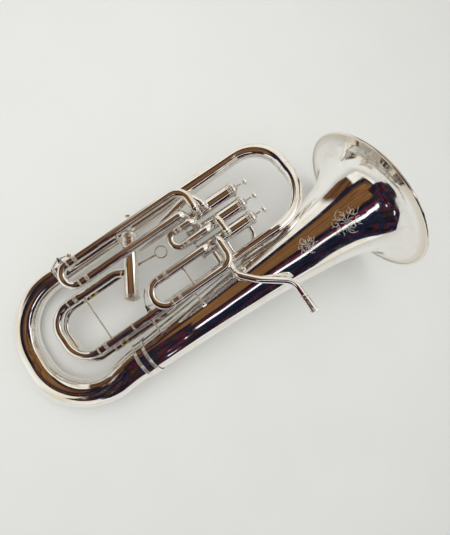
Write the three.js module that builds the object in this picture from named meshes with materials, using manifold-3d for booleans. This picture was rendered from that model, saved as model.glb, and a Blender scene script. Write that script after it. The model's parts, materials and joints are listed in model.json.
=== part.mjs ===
// A four-valve compensating euphonium, lying on its bell rim and bottom bow.
//
// The horn is designed in its own frame, in millimetres: the bell rim's centre is the origin,
// +X points out of the bell's mouth, +Y from the bell towards the outer branch, and +Z out of the
// front, where the valves and tuning slides are. At the end the whole horn is turned so that it
// lies on a level surface, and moved so that the surface is Z = 0 below the middle of its box.

import * as THREE from 'three';
import { mergeVertices } from 'three/addons/utils/BufferGeometryUtils.js';
import Module from 'manifold-3d';

// ---------------------------------------------------------------- driving dimensions (mm)

const RIM_RADIUS = 152;
const RIM_WIDTH = 3; // flat ring of the rolled rim
const BELL_WALL = 1.0;
const FLARE_WALL = 1.8; // beside the rim, where the bell opens most steeply
const BELL_LENGTH = 520;
const BELL_DRIFT = -8; // the bell's axis leans this far towards -Y over its length
// The bell's outside: depth behind the rim, and radius.
const BELL_OUTLINE = [
  [0, RIM_RADIUS], [3, 141], [9, 126], [22, 107], [48, 88], [95, 73], [160, 62.5], [250, 51],
  [370, 41.8], [BELL_LENGTH, 33.6],
];
const FLARE_POINTS = 4; // this many of them, from the rim, have the flare's wall
const BOW_WALL = 0.9;
const TUBE_WALL = 0.7;
const FIT_GAP = 0.35; // clear space between neighbouring pieces
const ARC_STEP = Math.PI / 6; // largest turn between two cross-sections of a bend
const SHORTEST_STEP = 0.2; // cross-sections nearer than this are one
// How many flat sides stand for a round one.
const SIDES = {
  bell: 28, ferrule: 20, bow: 16, outer: 14, top: 12, tube: 10, casing: 16, cap: 14, piston: 14,
  button: 12, receiver: 14, brace: 8, disc: 12, wire: 4,
};

// Body of the horn, small bore to large bore.
const OUTER_Y = 221; // outer branch
const OUTER_LEAN_X = -190; // from here the outer branch leans forward to the top bow
const OUTER_LEAN_BEND = 300;
// Corners of the bottom bow's path: it leaves the bell's joint, leans outwards and turns back.
const BOW_CORNERS = [[-556, -8.6, 0, 260], [-710, -29, 0, 103], [-694, OUTER_Y, 0, 111]];
const BOW_END_X = -575; // bottom bow meets the outer branch
const TOP_BEND = 66;
const TOP_CORNERS = [[-94, 221, 4.1], [-97, 54, 44]]; // outer and inner corner of the top bow
const TOP_INNER_BEND = 84;
const TOP_LEVEL_X = -262; // where the top bow levels out at the branch's height
const TOP_LEVEL_BEND = 60;
const TOP_JOINT_SHARE = 0.46; // where between those corners the outer branch meets the top bow
const TOP_DIP = [-190, 52.6, 46.8, 70]; // corner where the top bow starts down towards the branch
const BRANCH_Y = 53.3; // first branch and lower main-slide leg
const MAIN_SLIDE_Z = 35;
const BRANCH_Z = 24; // the branch dips here so that the leadpipe can cross it
const BRANCH_X = { joint: -282, rise: -335, level: -430, end: -498 };
const BRANCH_BEND = 150;
// Outside radius by share of the way along each body tube.
const BOW_RADII = [[0, 33.6], [0.1, 31], [0.25, 26.5], [0.5, 24.9], [0.75, 22.8], [1, 20.6]];
const OUTER_RADII = [[0, 20.6], [0.5, 18.4], [0.72, 15.7], [1, 13]];
const TOP_RADII = [[0, 12.8], [0.35, 11], [0.7, 9.4], [1, 8.9]];
const BRANCH_RADII = [[0, 8.8], [1, 8.2]];
// The sleeve over the joint between bell and bow.
const FERRULE = { lead: 12, radius: 35.9, length: 24, bead: 1.6, beadWidth: 3, body: 0.9, slope: 0.4 };

// Slides: Y of the two legs, height Z, X of the legs' mouths and of the crook's far side, and how
// far the crook's inner legs reach into the outer legs. The fourth slide stands a little drawn out.
const SLIDES = {
  main: {
    y: [156.4, BRANCH_Y], z: MAIN_SLIDE_Z, mouth: -559.5, crook: -619, bend: 41, bore: 6.4, inserted: 56,
  },
  first: { y: [96.7, 47.8], z: 58.5, mouth: -396, crook: -438.5, bend: 24.3, bore: 6, inserted: 50 },
  second: { y: [153.5, 124.0], z: 50, mouth: -330, crook: -356, bend: 14.6, bore: 5.7, inserted: 13 },
  third: { y: [213.9, 172.9], z: 54, mouth: -513.8, crook: -553, bend: 20.2, bore: 6, inserted: 95 },
  fourth: {
    y: [154.5, 42], z: -4, mouth: -536, crook: -625, bend: 42, bore: 6.4, inserted: 56, drawn: 9.5,
  },
};
const INNER_LEG_WALL = 0.6;
const SLIDE_CLEAR = 0.5; // inner leg's outside to the outer leg's bore
const OUTER_LEG_WALL = 0.9;
const SLEEVE_LENGTH = 17; // collar between leg mouth and crook
const SLEEVE_PROUD = 0.2; // collar's outside beyond the outer leg's
const BEND_INSET = 0.3; // crook's outside below the outer leg's

// Valves. s is measured from the casing's upper end along the valve, towards the bottom cap.
const CASING_RADIUS = 13.7;
const CASING_BORE = 12.9;
const CASING_LENGTH = 109;
const CAP_RADIUS = 14.8;
const TOP_CAP_HEIGHT = 13;
const BOTTOM_CAP_HEIGHT = 10;
const CAP_TOP = 3; // thickness of a cap's closed end
const TOP_CAP_EDGE = 1.8; // bevel round it
const BOTTOM_CAP_EDGE = 4;
const STEM_RADIUS = 2.6;
const STEM_HOLE = 3.4;
const BUTTON_RADIUS = 8;
const BUTTON_HEIGHT = 6;
const BUTTON_TOP = 37; // height of the finger button's top above the casing
const BUTTON_BEVEL = { radius: 1, height: 1.6, under: 2 };
const PISTON_RADIUS = 12.2;
const PISTON_TOP = 8;
const PISTON_LENGTH = 70;
const SPRING_RADIUS = 9.5;
const SPRING_WIRE = 0.8;
const SPRING_TURNS = 4;
const SPRING_STEPS = 7; // cross-sections per turn
const SPRING_SEAT = { top: 1.2, bottom: 1 }; // clear of the piston and of the bottom cap
const FRONT_VALVE_X = -209;
const FRONT_VALVE_Z = 17;
const FRONT_VALVE_Y = [99.5, 132.4, 165.3];
const SIDE_VALVE_TOP = [-416.9, 195.4, 30];
const SIDE_VALVE_TILT = 58.6; // degrees from +X towards +Y, where the fourth finger button points
const SIDE_STEM_EXTRA = 7;

// Outer legs that end at a valve: the slide and side they belong to, the corners after their
// straight part [x, y, z, bend radius], and the valve with the distance down it. A null is the
// leg's own Y or Z.
const LEGS = {
  main_slide_upper_leg: { slide: 'main', side: 0, turns: [[-476, null, null, 26]], valve: 4, at: 63 },
  first_slide_upper_leg: { slide: 'first', side: 0, turns: [[-306, null, null, 13]], valve: 1, at: 97 },
  first_slide_lower_leg: {
    slide: 'first', side: 1, turns: [[-283, null, null, 23], [-283, 98.5, null, 13]], valve: 1, at: 74,
  },
  second_slide_upper_leg: { slide: 'second', side: 0, turns: [[-302, null, null, 12]], valve: 2, at: 89 },
  second_slide_lower_leg: { slide: 'second', side: 1, turns: [[-282, null, null, 12]], valve: 2, at: 72 },
  third_slide_outer_leg: {
    slide: 'third', side: 0, turns: [[-285, null, null, 25], [-285, 167, 51, 12]], valve: 3, at: 76,
  },
  third_slide_inner_leg: { slide: 'third', side: 1, turns: [[-308, null, null, 13]], valve: 3, at: 99 },
  fourth_slide_upper_leg: {
    slide: 'fourth', side: 0, turns: [[-440.3, null, null, 13]], valve: 4, at: 45,
  },
  fourth_slide_lower_leg: {
    slide: 'fourth', side: 1, valve: 1, at: 91,
    turns: [[-440, null, null, 120], [-300, 55, -10, 20], [-300, 99.5, -10, 11.5]],
  },
};

// Fixed tubes between valves: the valve and distance down it at each end, and the corners.
const LINK_RADIUS = 7.3;
const LINKS = {
  valve_link_1_2: { from: [2, 53], corners: [[-262, 132.4, 43, 9.5], [-260, 99.5, 43, 9.5]], to: [1, 51] },
  valve_link_3_4: {
    from: [3, 58], to: [4, 24],
    corners: [[-267, 165.3, 43.5, 9], [-281, 197, 36.5, 14], [-385, 177, 31, 60]],
  },
  valve_return_tube: { from: [3, 89], corners: [[-298, 176, -9, 11], [-428.7, 176, -9, 12]], to: [4, 22.7] },
  compensating_loop: {
    from: [1, 7], corners: [[-214.5, 54.5, 7, 28], [-270, 54.5, 7, 13]], to: [1, 61], radius: 5.5,
  },
};

// Leadpipe and receiver.
const LEADPIPE_RADII = [6.1, 6.7];
const RECEIVER_RADIUS = 8.6;
const RECEIVER_BORE = 6.6;
const RECEIVER_LENGTH = 36;
const RECEIVER_MOUTH = [-215, -107, 62];
const RECEIVER_COLLAR = { thick: 0.8, length: 4, shoulder: 6, end: 7.6, throat: 4.6 };
const LEADPIPE_TURNS = [
  [-215, -42, 62, 30], [-266, -4, 64, 60], [-290, 22, 58, 22], [-291, 36, 46.5, 30], [-291, 56, 42, 25],
];
const LEADPIPE_VALVE = [1, 82];

// Small pieces.
const BRACE = { rod: 2.1, foot: 5, edge: 1.2, flare: 3 };
const THIN_BRACE = { rod: 1.6, foot: 4, edge: 1.2, flare: 3 };
const SLIDE_BRACE_X = { third: -431, first: -364, main: -546 };
const BELL_BRACE = { x: [-467, -466], bellY: 20, z: 33.2, tubeRadius: 8.3 };
const THUMB_STEM = { width: 4.5, thick: 3, valve: 4, at: 60, bite: 1 };
const THUMB_RING = { centre: [-383, 141, 28], radius: 11.2, wire: 1.6 };
const KEY = { thick: 2.4, width: 3.4, hub: 3.4, pin: 1.2, hole: 1.6, cup: 4.6, touch: 4.6 };
const SADDLE = { gap: 0.4, ear: 1.6, width: 5, base: 2, proud: 2, baseWidth: 8 };
const MAIN_KEY = { pivot: [-461, 71.5], cork: [-445, 66.2], touch: [-447, 98] };
const MAIN_KEY_STAND = 8.9; // saddle's foot beyond the tube's centre line
const THIRD_KEY_STAND = 0.8; // saddle's foot beyond the leg's outside
const THIRD_KEY = { pivot: [-539, 230.5], cork: [-521, 226.6], touch: [-559.5, 219.5] };

// How the horn lies: turned about its length and its width until rim and bow touch the surface.
const LIE_PITCH = 9.21; // degrees, bell end up
const LIE_ROLL = 6.01; // degrees, outer branch down

// ---------------------------------------------------------------- finishes

const finish = (color, roughness, metalness) =>
  () => new THREE.MeshStandardMaterial({ color, roughness, metalness });
const silver = finish(0xd9d6cd, 0.12, 1.0);
const nickel = finish(0xb9b6ae, 0.25, 1.0);
const springSteel = finish(0x8c8c90, 0.35, 1.0);

// ---------------------------------------------------------------- building blocks

const V = (x, y, z) => new THREE.Vector3(x, y, z);
const horn = new THREE.Group();

function add(name, geometry, material) {
  const mesh = new THREE.Mesh(geometry, material());
  mesh.name = name;
  horn.add(mesh);
  return mesh;
}

// A route is a list of corners [x, y, z, bend radius]; it comes back as stations, each with a
// point, a direction and its distance along the route. Bends are circular arcs.
function route(corners) {
  const points = corners.map((c) => V(c[0], c[1], c[2]));
  const stations = [];
  const put = (point, along) => {
    const last = stations[stations.length - 1];
    const gone = last ? last.point.distanceTo(point) : 0;
    if (last && gone < SHORTEST_STEP) return;
    stations.push({ point, along: along.clone(), at: last ? last.at + gone : 0 });
  };
  put(points[0], points[1].clone().sub(points[0]).normalize());
  for (let i = 1; i < points.length - 1; i += 1) {
    const before = points[i].clone().sub(points[i - 1]).normalize();
    const after = points[i + 1].clone().sub(points[i]).normalize();
    const turn = before.angleTo(after);
    const radius = corners[i][3];
    const reach = radius * Math.tan(turn / 2);
    const inward = after.clone().sub(before).normalize();
    const centre = points[i].clone().addScaledVector(inward, Math.hypot(radius, reach));
    const axis = before.clone().cross(after).normalize();
    const start = points[i].clone().addScaledVector(before, -reach).sub(centre);
    const steps = Math.ceil(turn / ARC_STEP);
    for (let k = 0; k <= steps; k += 1) {
      const angle = (turn * k) / steps;
      const point = start.clone().applyAxisAngle(axis, angle).add(centre);
      put(point, before.clone().applyAxisAngle(axis, angle));
    }
  }
  const end = points[points.length - 1];
  put(end, end.clone().sub(points[points.length - 2]).normalize());
  return stations;
}

// Cross-section frames that turn with the route without twisting.
function carryFrames(stations) {
  const first = stations[0].along;
  const hint = Math.abs(first.z) > 0.9 ? V(0, 1, 0) : V(0, 0, 1);
  let side = hint.clone().addScaledVector(first, -hint.dot(first)).normalize();
  stations.forEach((station, i) => {
    if (i > 0) {
      const turn = new THREE.Quaternion().setFromUnitVectors(stations[i - 1].along, station.along);
      side = side.clone().applyQuaternion(turn);
      side.addScaledVector(station.along, -side.dot(station.along)).normalize();
    }
    station.side = side;
    station.other = side.clone().cross(station.along);
  });
  return stations;
}

// A lathe turned about +Y whose heights are station numbers, laid along those stations. A mitre
// is the normal of the plane that trims the first or last cross-section.
function layAlong(profile, stations, sides, mitres = {}) {
  carryFrames(stations);
  const geometry = new THREE.LatheGeometry(profile, sides);
  const position = geometry.getAttribute('position');
  for (let i = 0; i < position.count; i += 1) {
    const index = Math.round(position.getY(i));
    const station = stations[index];
    const point = station.point.clone()
      .addScaledVector(station.side, position.getX(i))
      .addScaledVector(station.other, position.getZ(i));
    const normal = index === 0 ? mitres.start : mitres.end;
    if (normal && (index === 0 || index === stations.length - 1)) {
      const off = point.clone().sub(station.point).dot(normal);
      point.addScaledVector(station.along, -off / station.along.dot(normal));
    }
    position.setXYZ(i, point.x, point.y, point.z);
  }
  return geometry;
}

// A hollow tube on a route. radius is a number, or a function of the share of the way along.
function tube(corners, radius, wall, sides = SIDES.tube, mitres = {}) {
  const stations = route(corners);
  const length = stations[stations.length - 1].at;
  const outside = (s) => (typeof radius === 'number' ? radius : radius(s.at / length));
  const profile = stations.map((s, i) => new THREE.Vector2(outside(s), i));
  const inner = stations.map((s, i) => new THREE.Vector2(outside(s) - wall, i)).reverse();
  return layAlong([...profile, ...inner, profile[0].clone()], stations, sides, mitres);
}

// Straight turned piece: profile points are [radius, distance along] from a base point.
function turned(base, along, points, sides) {
  const geometry = new THREE.LatheGeometry(points.map((p) => new THREE.Vector2(p[0], p[1])), sides);
  const turn = new THREE.Quaternion().setFromUnitVectors(V(0, 1, 0), along);
  geometry.applyQuaternion(turn);
  geometry.translate(base.x, base.y, base.z);
  return geometry;
}

// Value between listed [place, value] pairs, joined by straight lines.
function between(pairs, place) {
  const next = Math.min(Math.max(pairs.findIndex((p) => p[0] >= place), 1), pairs.length - 1);
  const [a, b] = [pairs[next - 1], pairs[next]];
  return a[1] + ((b[1] - a[1]) * (place - a[0])) / (b[0] - a[0]);
}

const wasm = await Module();
wasm.setup();

function toSolid(geometry) {
  const bare = geometry.clone();
  bare.deleteAttribute('normal');
  bare.deleteAttribute('uv');
  const merged = mergeVertices(bare, 1e-3);
  return new wasm.Manifold(new wasm.Mesh({
    numProp: 3,
    vertProperties: merged.attributes.position.array,
    triVerts: new Uint32Array(merged.index.array),
  }));
}

function fromSolid(solid) {
  const mesh = solid.getMesh();
  const geometry = new THREE.BufferGeometry();
  geometry.setAttribute('position', new THREE.BufferAttribute(mesh.vertProperties, 3));
  geometry.setIndex(new THREE.BufferAttribute(mesh.triVerts, 1));
  geometry.computeVertexNormals();
  return geometry;
}

function join(pieces, cuts = []) {
  let solid = pieces.map(toSolid).reduce((sum, piece) => sum.add(piece));
  cuts.forEach((cut) => { solid = solid.subtract(toSolid(cut)); });
  return fromSolid(solid);
}

// Flat bar in a level plane from one [x, y] to another.
function bar([x1, y1], [x2, y2], z, width, thick) {
  const geometry = new THREE.BoxGeometry(Math.hypot(x2 - x1, y2 - y1), width, thick);
  geometry.rotateZ(Math.atan2(y2 - y1, x2 - x1));
  return geometry.translate((x1 + x2) / 2, (y1 + y2) / 2, z);
}

// Upright round disc.
function disc([x, y], z, radius, thick) {
  const geometry = new THREE.CylinderGeometry(radius, radius, thick, SIDES.disc);
  return geometry.rotateX(Math.PI / 2).translate(x, y, z);
}

// ---------------------------------------------------------------- body of the horn

const bellY = (x) => (BELL_DRIFT * x) / -BELL_LENGTH;
function makeBell() {
  const stations = BELL_OUTLINE.map(([depth]) => ({ point: V(-depth, bellY(-depth), 0) }));
  const along = stations[0].point.clone().sub(stations[stations.length - 1].point).normalize();
  stations.forEach((s) => { s.along = along.clone().negate(); });
  const wall = (i) => (i === 0 ? RIM_WIDTH : (i < FLARE_POINTS && FLARE_WALL) || BELL_WALL);
  const outside = BELL_OUTLINE.map((p, i) => new THREE.Vector2(p[1], i));
  const inside = BELL_OUTLINE.map((p, i) => new THREE.Vector2(p[1] - wall(i), i)).reverse();
  add('bell', layAlong([...outside, ...inside, outside[0].clone()], stations, SIDES.bell), silver);
}

function makeFerrule() {
  const { radius, length, bead, beadWidth, body, slope } = FERRULE;
  const ring = [
    [radius, 0], [radius + bead, 0], [radius + bead, beadWidth], [radius + body, beadWidth + slope],
    [radius + body, length - beadWidth - slope], [radius + bead, length - beadWidth],
    [radius + bead, length], [radius, length], [radius, 0],
  ];
  const base = V(FERRULE.lead - BELL_LENGTH, bellY(-BELL_LENGTH), 0);
  add('bell_bow_ferrule', turned(base, V(-1, 0, 0), ring, SIDES.ferrule), silver);
}

function makeBow() {
  const joint = -BELL_LENGTH - 2 * FIT_GAP;
  const corners = [[joint, bellY(joint), 0], ...BOW_CORNERS, [BOW_END_X, OUTER_Y, 0]];
  add('bottom_bow', tube(corners, (t) => between(BOW_RADII, t), BOW_WALL, SIDES.bow), silver);
}

// The outer branch and the top bow meet on the straight between the top bow's two corners.
function makeTop() {
  const [outerCorner, innerCorner] = TOP_CORNERS.map((c) => V(...c));
  const meeting = outerCorner.clone().lerp(innerCorner, TOP_JOINT_SHARE);
  const outer = [
    [BOW_END_X + FIT_GAP, OUTER_Y, 0], [OUTER_LEAN_X, OUTER_Y, 0, OUTER_LEAN_BEND],
    [...TOP_CORNERS[0], TOP_BEND], meeting.toArray(),
  ];
  const outerRadius = (t) => between(OUTER_RADII, t);
  add('outer_branch', tube(outer, outerRadius, BOW_WALL, SIDES.outer), silver);

  const inward = innerCorner.clone().sub(outerCorner).normalize();
  const start = meeting.clone().addScaledVector(inward, FIT_GAP);
  const top = [
    start.toArray(), [...TOP_CORNERS[1], TOP_INNER_BEND], TOP_DIP,
    [TOP_LEVEL_X, BRANCH_Y, BRANCH_Z, TOP_LEVEL_BEND], [BRANCH_X.joint, BRANCH_Y, BRANCH_Z],
  ];
  add('top_bow', tube(top, (t) => between(TOP_RADII, t), TUBE_WALL, SIDES.top), silver);
}

function makeBranch() {
  const corners = [
    [BRANCH_X.joint - FIT_GAP, BRANCH_Y, BRANCH_Z], [BRANCH_X.rise, BRANCH_Y, BRANCH_Z, BRANCH_BEND],
    [BRANCH_X.level, BRANCH_Y, MAIN_SLIDE_Z, BRANCH_BEND], [BRANCH_X.end, BRANCH_Y, MAIN_SLIDE_Z],
  ];
  add('first_branch', tube(corners, (t) => between(BRANCH_RADII, t), TUBE_WALL), silver);
}

// ---------------------------------------------------------------- valves

const tilt = THREE.MathUtils.degToRad(SIDE_VALVE_TILT);
const valves = FRONT_VALVE_Y.map((y) => ({
  top: V(FRONT_VALVE_X, y, FRONT_VALVE_Z), down: V(-1, 0, 0), stemExtra: 0,
}));
valves.push({
  top: V(...SIDE_VALVE_TOP), down: V(-Math.cos(tilt), -Math.sin(tilt), 0),
  stemExtra: SIDE_STEM_EXTRA,
});

function springCoil(valve, from, to) {
  class Coil extends THREE.Curve {
    getPoint(t) {
      const angle = 2 * Math.PI * SPRING_TURNS * t;
      return V(SPRING_RADIUS * Math.cos(angle), from + (to - from) * t,
        SPRING_RADIUS * Math.sin(angle));
    }
  }
  const wire = new THREE.Shape();
  wire.absarc(0, 0, SPRING_WIRE, 0, 2 * Math.PI);
  const options = {
    steps: SPRING_STEPS * SPRING_TURNS, curveSegments: SIDES.wire, bevelEnabled: false,
  };
  const geometry = new THREE.ExtrudeGeometry(wire, { ...options, extrudePath: new Coil() });
  geometry.applyQuaternion(new THREE.Quaternion().setFromUnitVectors(V(0, 1, 0), valve.down));
  geometry.translate(valve.top.x, valve.top.y, valve.top.z);
  return geometry;
}

function makeValve(valve, number) {
  const piece = (name, points, sides, material) => {
    add(`${name}_${number}`, turned(valve.top, valve.down, points, sides), material);
  };
  const end = CASING_LENGTH;
  piece('valve_casing', [
    [CASING_BORE, 0], [CASING_RADIUS, 0], [CASING_RADIUS, end], [CASING_BORE, end],
    [CASING_BORE, 0],
  ], SIDES.casing, silver);
  const capInside = CAP_TOP - TOP_CAP_HEIGHT;
  piece('top_cap', [
    [CASING_BORE, -FIT_GAP], [CAP_RADIUS, -FIT_GAP], [CAP_RADIUS, capInside],
    [CAP_RADIUS - TOP_CAP_EDGE, -TOP_CAP_HEIGHT], [STEM_HOLE, -TOP_CAP_HEIGHT],
    [STEM_HOLE, capInside], [CASING_BORE, capInside], [CASING_BORE, -FIT_GAP],
  ].reverse(), SIDES.cap, silver);
  const capEnd = end + BOTTOM_CAP_HEIGHT;
  piece('bottom_cap', [
    [0, end + FIT_GAP], [CAP_RADIUS, end + FIT_GAP], [CAP_RADIUS, capEnd - CAP_TOP],
    [CAP_RADIUS - BOTTOM_CAP_EDGE, capEnd], [0, capEnd],
  ], SIDES.cap, silver);
  piece('piston', [
    [0, PISTON_TOP], [PISTON_RADIUS, PISTON_TOP], [PISTON_RADIUS, PISTON_TOP + PISTON_LENGTH],
    [0, PISTON_TOP + PISTON_LENGTH],
  ], SIDES.piston, nickel);
  const buttonTop = -BUTTON_TOP - valve.stemExtra;
  const buttonUnder = buttonTop + BUTTON_HEIGHT;
  const bevel = BUTTON_BEVEL;
  piece('finger_button', [
    [0, buttonTop], [BUTTON_RADIUS - bevel.radius, buttonTop],
    [BUTTON_RADIUS, buttonTop + bevel.height], [BUTTON_RADIUS, buttonUnder - bevel.under],
    [STEM_RADIUS, buttonUnder], [STEM_RADIUS, PISTON_TOP - FIT_GAP], [0, PISTON_TOP - FIT_GAP],
  ], SIDES.button, silver);
  const springTop = PISTON_TOP + PISTON_LENGTH + SPRING_SEAT.top;
  const coil = springCoil(valve, springTop, end - SPRING_SEAT.bottom);
  add(`valve_spring_${number}`, coil, springSteel);
}

// Where a tube that comes from a corner meets a valve casing: its end point and trim plane.
function meet(valveNumber, s, corner) {
  const valve = valves[valveNumber - 1];
  const target = valve.top.clone().addScaledVector(valve.down, s);
  const out = V(corner[0], corner[1], corner[2]).sub(target);
  const across = out.clone().addScaledVector(valve.down, -out.dot(valve.down));
  const reach = (CASING_RADIUS + FIT_GAP) / across.length();
  const point = target.addScaledVector(out, reach);
  return { point: [point.x, point.y, point.z], normal: across.normalize() };
}

// ---------------------------------------------------------------- slides

const innerLegRadius = (slide) => slide.bore + INNER_LEG_WALL;
const legRadius = (slide) => innerLegRadius(slide) + SLIDE_CLEAR + OUTER_LEG_WALL;

// An outer leg from the slide's mouth through its turns to a valve casing.
function makeLeg(name, leg) {
  const slide = SLIDES[leg.slide];
  const own = slide.y[leg.side];
  const turns = leg.turns.map(([x, y, z, bend]) => [x, y ?? own, z ?? slide.z, bend]);
  const contact = meet(leg.valve, leg.at, turns[turns.length - 1]);
  const path = [[slide.mouth, own, slide.z], ...turns, contact.point];
  add(name, tube(path, legRadius(slide), OUTER_LEG_WALL, SIDES.tube, { end: contact.normal }), silver);
}

// The main slide's lower leg carries straight on from the first branch.
function makeStraightLeg() {
  const slide = SLIDES.main;
  const path = [[slide.mouth, slide.y[1], slide.z], [BRANCH_X.end - FIT_GAP, slide.y[1], slide.z]];
  add('main_slide_lower_leg', tube(path, legRadius(slide), OUTER_LEG_WALL), silver);
}

// A crook: an inner leg inside each outer leg, a sleeve at each mouth, and the bend.
function makeCrook(name, slide) {
  const [near, far] = slide.y;
  const inside = slide.mouth + slide.inserted;
  const stations = route([
    [inside, near, slide.z], [slide.crook, near, slide.z, slide.bend],
    [slide.crook, far, slide.z, slide.bend], [inside, far, slide.z],
  ]);
  const drawn = slide.drawn ?? 0;
  const sleeveStart = slide.inserted + drawn + FIT_GAP;
  const room = slide.mouth - drawn - slide.crook - slide.bend - 2 * FIT_GAP;
  const sleeveEnd = sleeveStart + Math.min(SLEEVE_LENGTH, room);
  const length = stations[stations.length - 1].at;
  const extra = [sleeveStart, sleeveStart, sleeveEnd, sleeveEnd];
  const marks = [...extra, ...extra.map((d) => length - d).reverse()];
  const all = [];
  const fromStart = (d) => V(inside - d, near, slide.z);
  const fromEnd = (d) => V(inside - (length - d), far, slide.z);
  const out = V(-1, 0, 0);
  const back = V(1, 0, 0);
  const thin = innerLegRadius(slide);
  const sleeve = legRadius(slide) + SLEEVE_PROUD;
  const bend = legRadius(slide) - BEND_INSET;
  const radii = [];
  const put = (point, along, radius) => {
    all.push({ point, along: along.clone() });
    radii.push(radius);
  };
  put(stations[0].point, out, thin);
  [thin, sleeve, sleeve, bend].forEach((r, i) => put(fromStart(marks[i]), out, r));
  stations.slice(1, -1).forEach((s) => put(s.point, s.along, bend));
  [bend, sleeve, sleeve, thin].forEach((r, i) => put(fromEnd(marks[i + 4]), back, r));
  put(stations[stations.length - 1].point, back, thin);
  const outer = radii.map((r, i) => new THREE.Vector2(r, i));
  const inner = radii.map((r, i) => new THREE.Vector2(slide.bore, i)).reverse();
  const bore = inner.filter((p, i) => i === 0 || all[p.y].point.distanceTo(all[p.y + 1].point) > 1);
  add(name, layAlong([...outer, ...bore, outer[0].clone()], all, SIDES.tube), silver);
}

// ---------------------------------------------------------------- fixed tubes between valves

function makeLink(name, { from, corners, to, radius = LINK_RADIUS }) {
  const start = meet(...from, corners[0]);
  const end = meet(...to, corners[corners.length - 1]);
  const mitres = { start: start.normal, end: end.normal };
  add(name, tube([start.point, ...corners, end.point], radius, TUBE_WALL, SIDES.tube, mitres), silver);
}

function makeLeadpipe() {
  const [x, y, z] = RECEIVER_MOUTH;
  const contact = meet(...LEADPIPE_VALVE, LEADPIPE_TURNS[LEADPIPE_TURNS.length - 1]);
  const start = [x, y + RECEIVER_LENGTH + FIT_GAP, z];
  const [small, large] = LEADPIPE_RADII;
  const outside = (t) => small + (large - small) * t;
  const path = [start, ...LEADPIPE_TURNS, contact.point];
  const mitres = { end: contact.normal };
  add('leadpipe', tube(path, outside, TUBE_WALL, SIDES.tube, mitres), silver);
}

// The receiver's socket tapers inwards, as a mouthpiece shank does.
function makeReceiver() {
  const end = RECEIVER_LENGTH;
  const collar = RECEIVER_COLLAR;
  const body = RECEIVER_RADIUS - collar.thick;
  const socket = [
    [RECEIVER_BORE, 0], [RECEIVER_RADIUS, 0], [RECEIVER_RADIUS, collar.length],
    [body, collar.length + 1], [body, end - collar.shoulder], [collar.end, end],
    [collar.throat, end], [RECEIVER_BORE, 0],
  ];
  add('mouthpiece_receiver', turned(V(...RECEIVER_MOUTH), V(0, 1, 0), socket, SIDES.receiver), silver);
}

// ---------------------------------------------------------------- braces, ring and water keys

// A rod between two points with a round foot at each end.
function makeBrace(name, from, to, { rod, foot, edge, flare } = BRACE) {
  const [a, b] = [V(...from), V(...to)];
  const length = a.distanceTo(b);
  const points = [
    [0, 0], [foot, 0], [foot, edge], [rod, flare], [rod, length - flare], [foot, length - edge],
    [foot, length], [0, length],
  ];
  add(name, turned(a, b.clone().sub(a).normalize(), points, SIDES.brace), silver);
}

function makeBraces() {
  Object.entries(SLIDE_BRACE_X).forEach(([name, x]) => {
    const slide = SLIDES[name];
    const clear = legRadius(slide) + FIT_GAP;
    const from = [x, slide.y[0] - clear, slide.z];
    const to = [x, slide.y[1] + clear, slide.z];
    makeBrace(`${name}_slide_brace`, from, to, name === 'main' ? THIN_BRACE : BRACE);
  });
  const { x, bellY: bellSide, z, tubeRadius } = BELL_BRACE;
  makeBrace('bell_brace', [x[0], BRANCH_Y - tubeRadius - FIT_GAP, z], [x[1], bellSide, z]);
}

// A ring on a stem that ends at the fourth valve's casing.
function makeThumbRing() {
  const [x, y, z] = THUMB_RING.centre;
  const ring = new THREE.TorusGeometry(THUMB_RING.radius, THUMB_RING.wire, 6, 18);
  ring.translate(x, y, z);
  const near = meet(THUMB_STEM.valve, THUMB_STEM.at, THUMB_RING.centre).point;
  const end = [near[0] + THUMB_STEM.bite, near[1]];
  const stem = bar([x - THUMB_RING.radius, y], end, z, THUMB_STEM.width, THUMB_STEM.thick);
  add('thumb_ring', join([ring, stem]), silver);
}

// A water key: a bent lever on a hinge pin, with a cork cup at one end and a touch at the other.
function makeLever(key, z) {
  const { pivot, cork, touch } = key;
  const cup = new THREE.CylinderGeometry(KEY.cup, KEY.cup, KEY.thick, SIDES.disc);
  cup.translate(cork[0], cork[1], z);
  return join([
    disc(pivot, z, KEY.hub, KEY.thick), bar(pivot, cork, z, KEY.width, KEY.thick),
    bar(pivot, touch, z, KEY.width, KEY.thick), disc(touch, z, KEY.touch, KEY.thick), cup,
  ], [disc(pivot, z, KEY.hole, 2 * KEY.thick)]);
}

// The saddle stands on its tube and holds the hinge pin between two ears.
function makeSaddle({ pivot }, tubeSide, z) {
  const top = pivot[1] + SADDLE.proud;
  const lift = KEY.thick / 2 + SADDLE.gap + SADDLE.ear / 2;
  const height = 2 * lift + SADDLE.ear;
  const ears = [-1, 1].map((side) => new THREE.BoxGeometry(SADDLE.width, top - tubeSide, SADDLE.ear)
    .translate(pivot[0], (top + tubeSide) / 2, z + side * lift));
  const base = new THREE.BoxGeometry(SADDLE.baseWidth, SADDLE.base, height)
    .translate(pivot[0], tubeSide + SADDLE.base / 2, z);
  return join([base, ...ears, disc(pivot, z, KEY.pin, height)]);
}

function makeWaterKey(name, key, tubeSide, z) {
  add(`${name}_water_key`, makeLever(key, z), silver);
  add(`${name}_key_saddle`, makeSaddle(key, tubeSide, z), silver);
}

function makeWaterKeys() {
  makeWaterKey('main', MAIN_KEY, BRANCH_Y + MAIN_KEY_STAND, MAIN_SLIDE_Z);
  const third = SLIDES.third;
  const side = third.y[0] + legRadius(third) + THIRD_KEY_STAND;
  makeWaterKey('third', THIRD_KEY, side, third.z);
}

// ---------------------------------------------------------------- assemble and lay down

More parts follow.
